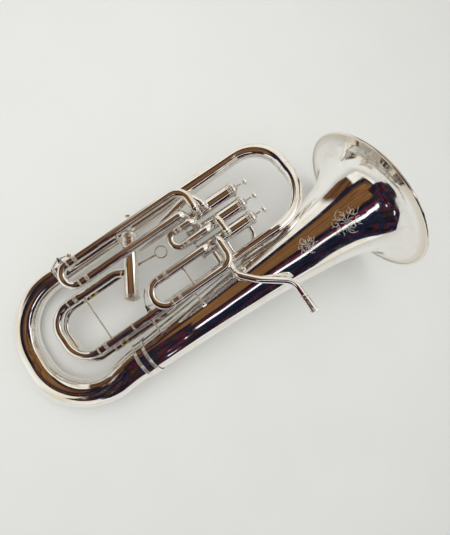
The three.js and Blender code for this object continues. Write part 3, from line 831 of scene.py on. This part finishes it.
def make_bell():
    rings = walls("bell")[0]
    if rings[0].centre[0] < rings[-1].centre[0]:
        rings = rings[::-1]
    line = straight(rings[0].centre, rings[-1].centre)
    depth = np.array([np.linalg.norm(r.centre - rings[0].centre) for r in rings])
    radius = np.array([r.radius() for r in rings])
    profile_line = curved([[d, r, 0] for d, r in zip(depth, radius)])
    walk = np.concatenate([np.linspace(0, 60, 40), np.linspace(62, profile_line.length, 120)])
    outline = profile_line.frames(walk)[0][:, :2]
    wall = 1.1
    roll = 3.1
    rim = [[roll * math.cos(a), radius[0] - 1.4 + roll * math.sin(a)]
           for a in np.linspace(-0.9 * math.pi, 0.45 * math.pi, 20)][::-1]
    outer = [p for p in outline.tolist() if p[0] > 3.4]
    inner = [[d, r - wall] for d, r in outer[::-1]]
    inner += [[0.6, radius[0] - 7.2]]
    profile = rim[:1] + outer + inner + rim[:0:-1]
    shape = Body().sweep(line, profile, 160, closed=True)
    make_fine("bell", "horn", shape, SILVER)
    return line, lambda d: np.interp(d, outline[:, 0], outline[:, 1])


bell_line, bell_radius = make_bell()

# ---------------- slide crooks


def make_inner_legs(slide, line, sections, bore):
    """The thin legs that stay inside the outer legs."""
    shape = Body()
    for start, end, radius in sections:
        profile = [[start, bore], [start, radius], [end, radius], [end, bore]]
        shape.sweep(line, profile, closed=True)
    make_piece(f"{slide}_slide_inner_legs", f"{slide}_slide", shape, BRASS)


def make_crook(slide):
    """The moving bend, with a beaded sleeve where it meets each outer leg."""
    node = f"{slide}_slide_crook"
    bore_rings = walls(node, outward=False)[0]
    line = line_of(bore_rings)
    bore = bore_rings[0].radius()
    sections = sorted((*sorted(line.nearest(r.centre) for r in (rings[0], rings[-1])),
                       rings[1].radius()) for rings in walls(node))
    widest = max(radius for _, _, radius in sections)
    thinnest = min(radius for _, _, radius in sections)
    outer = []
    for start, end, radius in sections:
        if radius < thinnest + 0.1:
            continue
        beads = []
        if radius > widest - 0.1:
            beads = [Bead(start + 1.5, 1.4, 0.9), Bead(end - 1.5, 1.5, 1.1)]
        outer += tube_outside(start, end, lambda d: radius + 0 * d, beads, 2).tolist()
    first, last = outer[0][0], outer[-1][0]
    inner = [[p, bore + 0.3] for p in np.linspace(last, first, int((last - first) / 4))]
    shape = Body().sweep(line, outer + inner, closed=True)
    make_fine(node, f"{slide}_slide", shape, SILVER)
    make_inner_legs(slide, line, [s for s in sections if s[2] < thinnest + 0.1], bore)
    return widest


CROOK_RADII = {slide: make_crook(slide) for slide in ("main", "first", "second", "third", "fourth")}

# ---------------- joint sleeves and rings


def make_bell_ferrule():
    node = "bell_bow_ferrule"
    points = horn_points(node)
    low, high = points[:, 0].min(), points[:, 0].max()
    start, end = (bell_line.frames([-x])[0][0] for x in (high, low))
    line = straight(start, end)
    radii = np.linalg.norm(across(points - line.points[0], line.tangents[0]), axis=1)
    body = radii.max() - 1.7
    inside = radii.min() + 0.1
    length = line.length
    beads = [Bead(1.7, 1.5, 1.1), Bead(4.6, 1.2, 0.7), Bead(length - 4.6, 1.2, 0.7),
             Bead(length - 1.7, 1.5, 1.1)]
    profile = tube_profile(0, length, lambda d: body + 0 * d, body - inside, beads)
    make_fine(node, "horn", Body().sweep(line, profile, 96, closed=True), SILVER)


def make_rings(name, line, radius, places):
    """Rings soldered round a tube, at distances along it."""
    half_width, height, sunk = 1.2, 0.9, 0.2
    shape = Body()
    for place in places:
        base = float(radius(place)) - sunk
        arch = [[place + half_width * math.cos(a), base + (height + sunk) * math.sin(a)]
                for a in np.linspace(math.pi, 0, 11)]
        shape.sweep(line, arch, 80, closed=True)
    make_piece(name, "horn", shape, SILVER)


make_bell_ferrule()
make_rings("bow_joint_rings", outer_line, outer_radius, [1.4, 5.0, 13.0])
make_rings("top_bow_joint_rings", top_line, top_radius, [1.4, 5.4])
make_rings("branch_joint_rings", branch_line, branch_radius, [branch_line.length - 1.5,
                                                            branch_line.length - 6.5])

# ---------------- braces


def brace_shape(start, end, rod, foot, tubes):
    """A rod with a collar and a saddle foot at each end; tubes are the radii the feet sit on."""
    line = straight(start, end)
    length = line.length
    half = [[-0.6, foot], [0.7, foot], [1.1, foot - 0.5], [1.3, rod + 1.0], [2.0, rod + 0.35],
            [3.0, rod + 0.1], [4.2, rod], [5.0, rod + 0.7], [5.6, rod + 0.7], [6.3, rod]]
    if length < 16:
        half = half[:7]
    shape = half + [[length - d, r] for d, r in reversed(half)]
    points = sweep_points(line, shape, 40)
    cross = unit(np.cross(line.tangents[0], [1.0, 0.0, 0.0]))
    for row, (place, _) in enumerate(shape):
        for sign, near, radius in ((-1, place, tubes[0]), (1, length - place, tubes[1])):
            weight = min(1.0, max(0.0, 1 - near / 2.5))
            width = (points[row] - line.points[0]) @ cross
            drop = radius - np.sqrt(np.clip(radius ** 2 - width ** 2, 0.1, None))
            points[row] += sign * weight * drop[:, None] * line.tangents[0]
    return Body().add(points, grid_faces(len(shape), 40, closed=False))


def make_brace(node, tubes):
    """The CAD brace's rod and feet, read from its vertices."""
    points = horn_points(node)
    along = np.linalg.svd(points - points.mean(axis=0))[2][0]
    start, end = extreme(node, -along, 0.05), extreme(node, along, 0.05)
    radii = np.linalg.norm(across(points - start, along), axis=1)
    shape = brace_shape(start, end, radii[radii > 0.8].min(), radii.max(), tubes)
    make_fine(node, "horn", shape, SILVER)


for name in ("main", "first", "third"):
    leg_radius = CROOK_RADII[name] - 0.2
    make_brace(f"{name}_slide_brace", (leg_radius, leg_radius))
make_brace("bell_brace", (8.3, 40.0))
upper_brace = brace_shape([-374, 44.6, 33], [-372, 14, 38.5], 2.1, 4.6, (8.3, 41.6))
make_piece("upper_bell_brace", "horn", upper_brace, SILVER)

# ---------------- mouthpiece receiver


def make_receiver():
    node = "mouthpiece_receiver"
    mouth = extreme(node, [0, -1, 0], 0.05)
    end = extreme(node, [0, 1, 0], 0.05)
    line = straight(mouth, end)
    radius = np.abs(horn_points(node)[:, 0] - mouth[0]).max()
    length = line.length
    body = radius - 1.1
    outer = [[0, radius - 1.7], [0.3, radius - 0.9], [1.1, radius - 0.1], [2.0, radius],
             [3.0, radius - 0.1], [3.8, radius - 0.8], [4.1, body], [5.0, body - 0.1],
             [5.2, body + 0.3], [5.9, body + 0.3], [6.1, body - 0.1], [length * 0.5, body - 0.35],
             [length - 9.0, body - 0.6], [length - 8.6, body - 0.1], [length - 7.6, body + 0.1],
             [length - 6.6, body - 0.1], [length - 6.2, body - 0.8], [length - 2.4, body - 1.0],
             [length - 2.0, body - 0.6], [length - 1.0, body - 0.5], [length, body - 1.2]]
    inner = [[length, 4.8], [1.2, radius - 2.6], [0.4, radius - 2.3]]
    shape = Body().sweep(line, outer + inner, 72, closed=True)
    make_fine(node, "horn", shape, SILVER_HANDLED)


make_receiver()

# ---------------- thumb ring

THUMB_CENTRE = np.array([-383.0, 141.0, 28.0])
THUMB_RADIUS = 11.2
THUMB_WIRE = 1.75


def bar(line, stations, sides=28, power=1.0):
    """A bar along a line. stations are [distance, half width, half thickness]; the width lies in
    the horn's XY plane, and a power below 1 makes the oval section squarer."""
    stations = np.asarray(stations, float)
    centres, _, _, along = line.frames(stations[:, 0])
    angle = np.linspace(0, 2 * math.pi, sides, endpoint=False)
    wave = [np.sign(w) * np.abs(w) ** power for w in (np.cos(angle), np.sin(angle))]
    rows = []
    for centre, direction, (_, width, thick) in zip(centres, along, stations):
        wide = unit(np.cross([0, 0, 1.0], direction))
        thin = unit(np.cross(direction, wide))
        rows.append(centre + width * wave[0][:, None] * wide + thick * wave[1][:, None] * thin)
    return np.array(rows), grid_faces(len(stations), sides, closed=False)


def ball(centre, radius, rows=14, sides=28):
    """A ball as a sweep of rings along the horn's Z."""
    centre = np.asarray(centre, float)
    line = straight(centre - [0, 0, radius], centre + [0, 0, radius])
    turns = np.linspace(0.08, math.pi - 0.08, rows)
    profile = [[radius - radius * math.cos(a), radius * math.sin(a)] for a in turns]
    return sweep_points(line, profile, sides), grid_faces(rows, sides, closed=False)


def make_thumb_ring():
    node = "thumb_ring"
    shape = Body()
    angle = np.linspace(0, 2 * math.pi, 72, endpoint=False)
    section = np.linspace(0, 2 * math.pi, 20, endpoint=False)
    out = np.stack([np.cos(angle), np.sin(angle), 0 * angle], axis=1)
    rows = (THUMB_CENTRE + THUMB_RADIUS * out[:, None]
            + THUMB_WIRE * np.cos(section)[None, :, None] * out[:, None]
            + 1.35 * THUMB_WIRE * np.sin(section)[None, :, None] * np.array([0, 0, 1.0]))
    shape.add(rows, grid_faces(len(angle), len(section), closed=True))
    far = extreme(node, -unit([1.0, -0.75, 0]), 2.0)
    far[2] = THUMB_CENTRE[2]
    near = THUMB_CENTRE + (THUMB_RADIUS + 0.5) * unit(far - THUMB_CENTRE)
    arm = straight(near, far)
    length = arm.length
    stations = [[0, 2.6, 2.3], [3, 2.0, 1.8], [length * 0.4, 1.7, 1.6], [length - 5, 2.0, 1.8],
                [length - 2.2, 3.6, 2.6], [length - 0.6, 4.2, 3.0], [length + 0.6, 4.2, 3.0]]
    shape.add(*bar(arm, stations))
    shape.add(*ball(near, 2.9))
    make_fine(node, "horn", shape, SILVER_HANDLED)


make_thumb_ring()

# ---------------- water keys


def make_lever(name, body, pivot, cork, touch, bow):
    """A sprung lever: hinge barrel, an arm bowed towards the touch, the touch plate and the tail out to the cup.
    """
    shape = Body()
    pivot, cork, touch = (np.asarray(p, float) for p in (pivot, cork, touch))
    barrel = straight(pivot - [0, 0, 3.4], pivot + [0, 0, 3.4])
    shape.sweep(barrel, [[0, 1.25], [0, 2.5], [0.4, 2.8], [6.4, 2.8], [6.8, 2.5], [6.8, 1.25]], 40,
                closed=True)
    side = unit(np.cross([0, 0, 1.0], touch - pivot))
    bend = (pivot + touch) / 2 + side * bow
    arm = curved([pivot, bend, touch])
    length = arm.length
    shape.add(*bar(arm, [
        [1.5, 1.7, 2.2], [length * 0.3, 1.4, 2.0], [length * 0.7, 1.3, 2.1],
        [length - 4.0, 1.5, 3.4], [length - 2.0, 2.2, 4.4], [length, 2.8, 4.8],
        [length + 2.0, 2.4, 4.4], [length + 3.2, 1.4, 2.8],
    ]))
    tail = straight(pivot, cork)
    shape.add(*bar(tail, [[1.5, 1.6, 2.2], [tail.length * 0.5, 1.1, 1.8],
                          [tail.length - 2, 1.4, 2.4], [tail.length, 1.6, 2.8]]))
    make_fine(name, body, shape, SILVER_HANDLED)


def make_key_cup(name, body, cork, away):
    """The cup under the lever's tail, and the cork it presses on the tube."""
    cork, away = np.asarray(cork, float), unit(away)
    line = straight(cork + away * 2.2, cork - away * 2.6)
    cup = [[0.0, 1.0], [0.0, 2.2], [0.5, 3.6], [1.2, 4.2], [3.0, 4.3], [3.4, 4.0], [3.4, 1.0]]
    make_piece(f"{name}_cup", body, Body().sweep(line, cup, 48), SILVER_HANDLED)
    pad = [[3.3, 0.8], [3.3, 3.6], [4.4, 3.7], [4.8, 3.4], [4.8, 0.8]]
    make_piece(f"{name}_cork", body, Body().sweep(line, pad, 40), CORK)


def make_saddle(node, body, pivot):
    """Two ears on a curved foot, with the hinge pin and its screw head."""
    pivot = np.asarray(pivot, float)
    base = horn_points(node)[:, 1].min()
    shape = Body()
    foot = straight([pivot[0] - 4.4, base + 1.0, pivot[2]], [pivot[0] + 4.4, base + 1.0, pivot[2]])
    shape.add(*bar(foot, [[0, 0.5, 4.2], [0.5, 1.0, 5.2], [8.3, 1.0, 5.2], [8.8, 0.5, 4.2]],
                   32, 0.4))
    for side in (-1, 1):
        z = pivot[2] + side * 4.4
        ear = straight([pivot[0], base + 0.5, z], [pivot[0], pivot[1] + 2.4, z])
        height = ear.length
        shape.add(*bar(ear, [[0, 3.4, 0.8], [height * 0.35, 2.6, 0.8],
                             [height - 4.4, 2.5, 0.8], [height - 2.2, 2.6, 0.8],
                             [height - 0.6, 1.8, 0.8], [height, 0.9, 0.6]], 24, 0.5))
    pin = straight(pivot - [0, 0, 6.2], pivot + [0, 0, 6.2])
    shape.sweep(pin, [[0, 0.4], [0, 1.7], [0.3, 2.0], [1.0, 2.0], [1.1, 1.1], [11.3, 1.1],
                      [11.4, 1.7], [12.2, 1.7], [12.4, 1.4], [12.4, 0.4]], 32)
    make_fine(node, body, shape, SILVER)


MAIN_KEY = {"pivot": [-461, 71.5, 35], "cork": [-445, 66.2, 35], "touch": [-447, 98, 35]}
THIRD_KEY = {"pivot": [-539, 230.5, 54], "cork": [-521, 226.6, 54], "touch": [-559.5, 219.5, 54]}

for name, body, saddle_body, key, bow in (("main", "main_key", "horn", MAIN_KEY, 3.5),
                                         ("third", "third_key", "third_slide", THIRD_KEY, -2.5)):
    make_lever(f"{name}_water_key", body, **key, bow=bow)
    make_key_cup(f"{name}_water_key", body, key["cork"], [0.1, 1, 0])
    make_saddle(f"{name}_key_saddle", saddle_body, key["pivot"])

# ---------------- engraving


def on_bell(x, turn):
    """A point on the bell's outside: X and the angle round it from the front towards +Y."""
    d = -x
    centre, _, _, along = bell_line.frames([d])
    radius = float(bell_radius(d)) + 0.12
    return centre[0] + radius * np.array([0, math.sin(turn), math.cos(turn)])


def engraved_stroke(shape, path, width):
    """A low ridge that swells in the middle, along a path of [X, turn] on the bell."""
    line = curved([on_bell(x, turn) for x, turn in path])
    places = np.linspace(0, line.length, max(8, int(line.length / 1.2)))
    share = places / line.length
    profile = np.stack([places, 0.2 + 1.35 * width * np.sin(np.pi * share) ** 0.7], axis=1)
    shape.sweep(line, profile, 8)


def scroll(x, turn, size, start, way, spin=1.35):
    """A spiral tendril in X and in mm round the bell."""
    around = size / float(bell_radius(-x))
    path = []
    for step in np.linspace(0, 1, 26):
        angle = start + way * spin * 2 * math.pi * step
        reach = (1 - step) ** 1.15
        path.append([x + size * reach * math.cos(angle), turn + around * reach * math.sin(angle)])
    return path


def leaf(x, turn, size, heading, curl):
    around = 1 / float(bell_radius(-x))
    path = []
    for step in np.linspace(-0.5, 0.5, 9):
        bend = curl * (0.25 - step * step)
        u = size * step
        w = size * bend
        path.append([x + u * math.cos(heading) - w * math.sin(heading),
                     turn + around * (u * math.sin(heading) + w * math.cos(heading))])
    return path


def make_engraving():
    """Generic scrolls and leaves cut into the front of the bell."""
    shape = Body()

    def add_scroll(ahead, beside, scale, start, way, width):
        path = scroll(x + ahead * size, turn + beside * size * around, scale * size, start, way)
        engraved_stroke(shape, path, width)

    def add_leaf(heading, ahead, beside, scale, lean, curl, width):
        path = leaf(x + ahead * size * math.cos(heading),
                    turn + beside * size * around * math.sin(heading),
                    scale * size, heading + lean, curl)
        engraved_stroke(shape, path, width)

    for x, turn, size in ((-80, -0.10, 15), (-158, -0.04, 10)):
        around = 1 / float(bell_radius(-x))
        for way in (-1, 1):
            add_scroll(-0.24 * way, 0.95 * way, 0.8, 1.2 * way, way, 0.30)
            add_scroll(1.1, 0.6 * way, 0.5, -0.8 * way, -way, 0.24)
            add_scroll(-1.2, 0.5 * way, 0.45, 2.0 * way, way, 0.22)
        for k in range(9):
            add_leaf(2 * math.pi * k / 9, 0.45, 0.45, 0.75, 0, 0.5, 0.30)
        for k in range(10):
            heading = math.pi * (k + 0.5) / 5
            add_leaf(heading, 1.75, 1.35, 0.5, 0.5, 0.6, 0.24)
            for way in (-1, 1):
                add_leaf(heading, 1.2, 1, 0.6, 0.9 * way, way, 0.26)
    make_piece("bell_engraving", "horn", shape, ENGRAVED)


make_engraving()

# ---------------- stage, light and camera


def make_stage():
    bpy.ops.mesh.primitive_plane_add(size=30, location=(0, 0, 0))
    floor = bpy.context.active_object
    floor.name = "studio_floor"
    look = Look("studio_floor", Metallic=0.0, Roughness=0.6)
    mottle = look.noise(6, 4)
    color = look.ramp(mottle, [(0.2, (0.84, 0.84, 0.82)), (0.8, (0.87, 0.87, 0.85))])
    floor.data.materials.append(look.finish(color, None, look.bump(look.noise(400, 3), 0.00005)))


CAMERA_OUT = (-323.73, 24.05, 662.52)
CAMERA_RIGHT = (0.82127614, -0.57047834, 0.00774398)
CAMERA_DOWN = (-0.56939023, -0.82041651, -0.05207221)
LENS = 22.73
SENSOR = 36


def placed(columns, point):
    """The matrix of an object with these axes, standing at a point."""
    return Matrix([[*row, p] for row, p in zip(np.stack(columns, axis=1), point)] + [[0, 0, 0, 1]])


def make_camera():
    data = bpy.data.cameras.new("camera")
    data.lens = LENS
    data.sensor_width = SENSOR
    camera = bpy.data.objects.new("camera", data)
    bpy.context.scene.collection.objects.link(camera)
    right = np.array(CAMERA_RIGHT) @ AXES
    up = -np.array(CAMERA_DOWN) @ AXES
    back = np.cross(right, up)
    camera.matrix_world = placed([right, up, back], to_row(CAMERA_OUT))
    bpy.context.scene.camera = camera
    return right, up, back


camera_right, camera_up, camera_back = make_camera()
make_stage()


class Surroundings(Shading):
    """What the silver mirrors: a room behind the camera, laid out in a flat map of directions.

    The map is centred on the way back to the camera. Its first direction is the horn's length as
    the camera sees it, towards the upper right, its second a quarter turn clockwise from that. A
    direction at angle t from the centre lies tan(t / 2) away from it.
    """

    TURN = math.radians(35)

    def __init__(self, tree):
        super().__init__(tree)
        lengthwise = camera_right * math.cos(self.TURN) + camera_up * math.sin(self.TURN)
        sideways = camera_right * math.sin(self.TURN) - camera_up * math.cos(self.TURN)
        way = self.new("TexCoord", {}, "Generated")
        depth = self.math("ADD", self.dot(way, camera_back), 1.02)
        self.map = [self.math("DIVIDE", self.dot(way, axis), depth)
                    for axis in (lengthwise, sideways)]

    def dot(self, vector, axis):
        return self.new("VectorMath", {0: vector, 1: tuple(axis)}, "Value", operation="DOT_PRODUCT")

    def patch(self, centre, half_sizes, soft=0.15, power=2.0):
        """1 inside a rounded patch of the map, 0 outside; power 2 is an ellipse, higher a box."""
        terms = []
        for part, middle, half in zip(self.map, centre, half_sizes):
            off = self.math("DIVIDE", self.math("SUBTRACT", part, middle), half)
            terms.append(self.math("POWER", self.math("ABSOLUTE", off), power))
        return self.grade(self.math("ADD", *terms), 1.0, 0.0, 1 - soft, 1 + soft, "SMOOTHSTEP")


PALE = (0.90, 0.89, 0.85)
CREAM = (0.74, 0.67, 0.52)
WOOD = (0.20, 0.095, 0.035)
WOOD_DARK = (0.045, 0.020, 0.012)
WINDOW = (1.40, 1.42, 1.46)
NAVY = (0.010, 0.014, 0.045)
CRIMSON = (0.15, 0.010, 0.03)
BLACK = (0.008, 0.008, 0.010)
BLUE = (0.03, 0.05, 0.35)
AMBIENT = (0.58, 0.585, 0.57)
BACKDROP = (0.70, 0.705, 0.69)


def make_world():
    """Cameras see a plain backdrop, matt surfaces an even light, and mirrors the room."""
    world = bpy.data.worlds.new("studio")
    bpy.context.scene.world = world
    world.use_nodes = True
    room = Surroundings(world.node_tree)
    wall = room.mix(room.grade(room.streaks(room.map, (1.2, 3.0), 4.0), 0.0, 1.0, 0.44, 0.60),
                    PALE, CREAM)
    grain = room.grade(room.streaks(room.map, (1.6, 16.0), 6.0), 0.0, 1.0, 0.36, 0.64)
    view = room.mix(room.patch((-1.35, 0.0), (0.50, 0.75), soft=0.3), wall, WINDOW)
    view = room.mix(room.patch((-0.24, -1.0), (0.24, 0.75)), view, room.mix(grain, WOOD, WOOD_DARK))
    view = room.mix(room.patch((0.45, 0.26), (0.40, 0.12), soft=0.2, power=4), view, WINDOW)
    view = room.mix(room.patch((0.32, 0.49), (0.55, 0.045), soft=0.3), view, BLACK)
    matt = room.mix(room.new("LightPath", {}, "Is Diffuse Ray"), view, AMBIENT)
    seen = room.mix(room.new("LightPath", {}, "Is Camera Ray"), matt, BACKDROP)
    room.links.new(seen, room.nodes["Background"].inputs["Color"])


# outlines of the sheets in mm: X and Y, X and Z, Y and Z
CARD_HEIGHT = 460
CARD_OUTLINE = [(-60, 545), (-330, 570), (-610, 540), (-880, 560), (-915, 300), (-890, -20),
                (-1010, -75), (-1190, -110), (-1240, -330), (-1200, -570), (-30, -570),
                (-75, -330), (-40, -90), (-85, 110), (-50, 330)]
FIGURE_Y = -570
FIGURE_OUTLINE = [(-1200, 460), (-1150, 260), (-980, 110), (-760, 30), (-520, 60), (-300, 20),
                  (-130, 70), (-50, 200), (-30, 460)]
END_X = -520
END_LEAN = 0.25
END_OUTLINE = [(-570, 460), (-560, 60), (-380, 40), (-200, 100), (-90, 80), (60, 120), (110, 230),
               (150, 460)]
# colors by Y in mm, then by the height of the noise
CARD_BANDS = [(-760, BLACK), (-540, BLACK), (-470, NAVY), (-400, NAVY), (-350, BLACK),
              (-290, NAVY), (-252, BLACK), (-236, WINDOW), (-185, WINDOW), (-170, BLACK),
              (-120, CRIMSON), (-90, NAVY), (-50, BLACK), (-15, WOOD_DARK), (25, WOOD),
              (310, WOOD), (400, WOOD_DARK), (450, NAVY), (560, BLACK)]
FIGURE_COLORS = [(0.30, BLACK), (0.42, NAVY), (0.50, BLACK), (0.56, BLACK), (0.58, CRIMSON),
                 (0.60, BLACK), (0.64, NAVY), (0.68, WOOD_DARK), (0.72, BLACK)]
END_COLORS = [(0.30, BLUE), (0.34, BLACK), (0.42, NAVY), (0.47, BLACK), (0.50, WOOD_DARK),
              (0.53, BLACK), (0.57, CRIMSON), (0.60, NAVY), (0.64, BLACK), (0.67, WINDOW)]
FAR_COLORS = [(0.36, BLACK), (0.44, NAVY), (0.50, BLACK), (0.54, WOOD_DARK), (0.57, WOOD),
              (0.585, BLACK), (0.62, CRIMSON), (0.66, NAVY), (0.70, WINDOW)]
FAR_X = (-0.60, -0.76)  # metres; between these the ceiling turns from bands to FAR_COLORS


def hang_sheet(name, corners, material):
    """A flat sheet that only mirrors see. Its own coordinates are the horn's, in metres."""
    mesh = bpy.data.meshes.new(name)
    mesh.from_pydata((np.array(corners) * MM).tolist(), [], [range(len(corners))])
    mesh.materials.append(material)
    sheet = bpy.data.objects.new(name, mesh)
    bpy.context.scene.collection.objects.link(sheet)
    sheet.matrix_world = placed(AXES, ORIGIN)
    for ray in ("camera", "diffuse", "transmission", "volume_scatter", "shadow"):
        setattr(sheet, f"visible_{ray}", False)


def ceiling_look():
    """Bands along the horn's length, wood over its middle, that break into blotches at the bow."""
    look = Look("reflected_card")
    parts = look.parts("X", "Y")
    low, high = CARD_BANDS[0][0], CARD_BANDS[-1][0]
    waver = look.swing(look.streaks(parts, (6, 9), 2), 0.09)
    height = look.math("DIVIDE", look.math("SUBTRACT", parts[1], low * MM), (high - low) * MM)
    bands = look.ramp(look.math("ADD", height, waver),
                      [((y - low) / (high - low), color) for y, color in CARD_BANDS])
    blotches = look.ramp(look.streaks(parts, (9, 13), 5), FAR_COLORS)
    shift = look.swing(look.streaks(parts, (7, 7), 3), 0.3)
    far = look.grade(look.math("ADD", parts[0], shift), 0.0, 1.0, *FAR_X)
    grain = look.grade(look.streaks(parts, (2.5, 46), 5), 0.45, 1.35, 0.36, 0.64)
    return look.glow(look.mix(far, bands, blotches), grain)


def upright_look(name, across, colors):
    """Blotches of color with folds, on an upright sheet that runs along X or Y."""
    look = Look(name)
    parts = look.parts(across, "Z")
    folds = look.grade(look.streaks(parts, (14, 3), 3), 0.5, 1.5, 0.35, 0.65)
    return look.glow(look.ramp(look.streaks(parts, (6, 10), 4), colors), folds)


def make_sheets():
    """A dark ceiling over the horn and two sheets hanging from it. They give the silver the
    bands and dark patches that someone leaning over the horn would."""
    hang_sheet("reflected_card", [(x, y, CARD_HEIGHT) for x, y in CARD_OUTLINE], ceiling_look())
    figure = [(x, FIGURE_Y, z) for x, z in FIGURE_OUTLINE]
    hang_sheet("reflected_figure", figure, upright_look("reflected_figure", "X", FIGURE_COLORS))
    end = [(END_X - (CARD_HEIGHT - z) * END_LEAN, y, z) for y, z in END_OUTLINE]
    hang_sheet("reflected_end", end, upright_look("reflected_end", "Y", END_COLORS))


def make_lamp(name, place, target, size, power):
    """A large soft lamp, placed and aimed in horn millimetres."""
    data = bpy.data.lights.new(name, "AREA")
    data.size = size
    data.energy = power
    lamp = bpy.data.objects.new(name, data)
    bpy.context.scene.collection.objects.link(lamp)
    lamp.location = to_row(place)
    heading = Vector(to_row(target) - to_row(place))
    lamp.rotation_euler = heading.to_track_quat("-Z", "Y").to_euler()
    lamp.visible_glossy = False


make_sheets()
make_lamp("soft_lamp", (-200, 300, 1500), (-330, 60, 0), 1.4, 11.5)
make_world()
bpy.context.scene.view_settings.view_transform = "Standard"
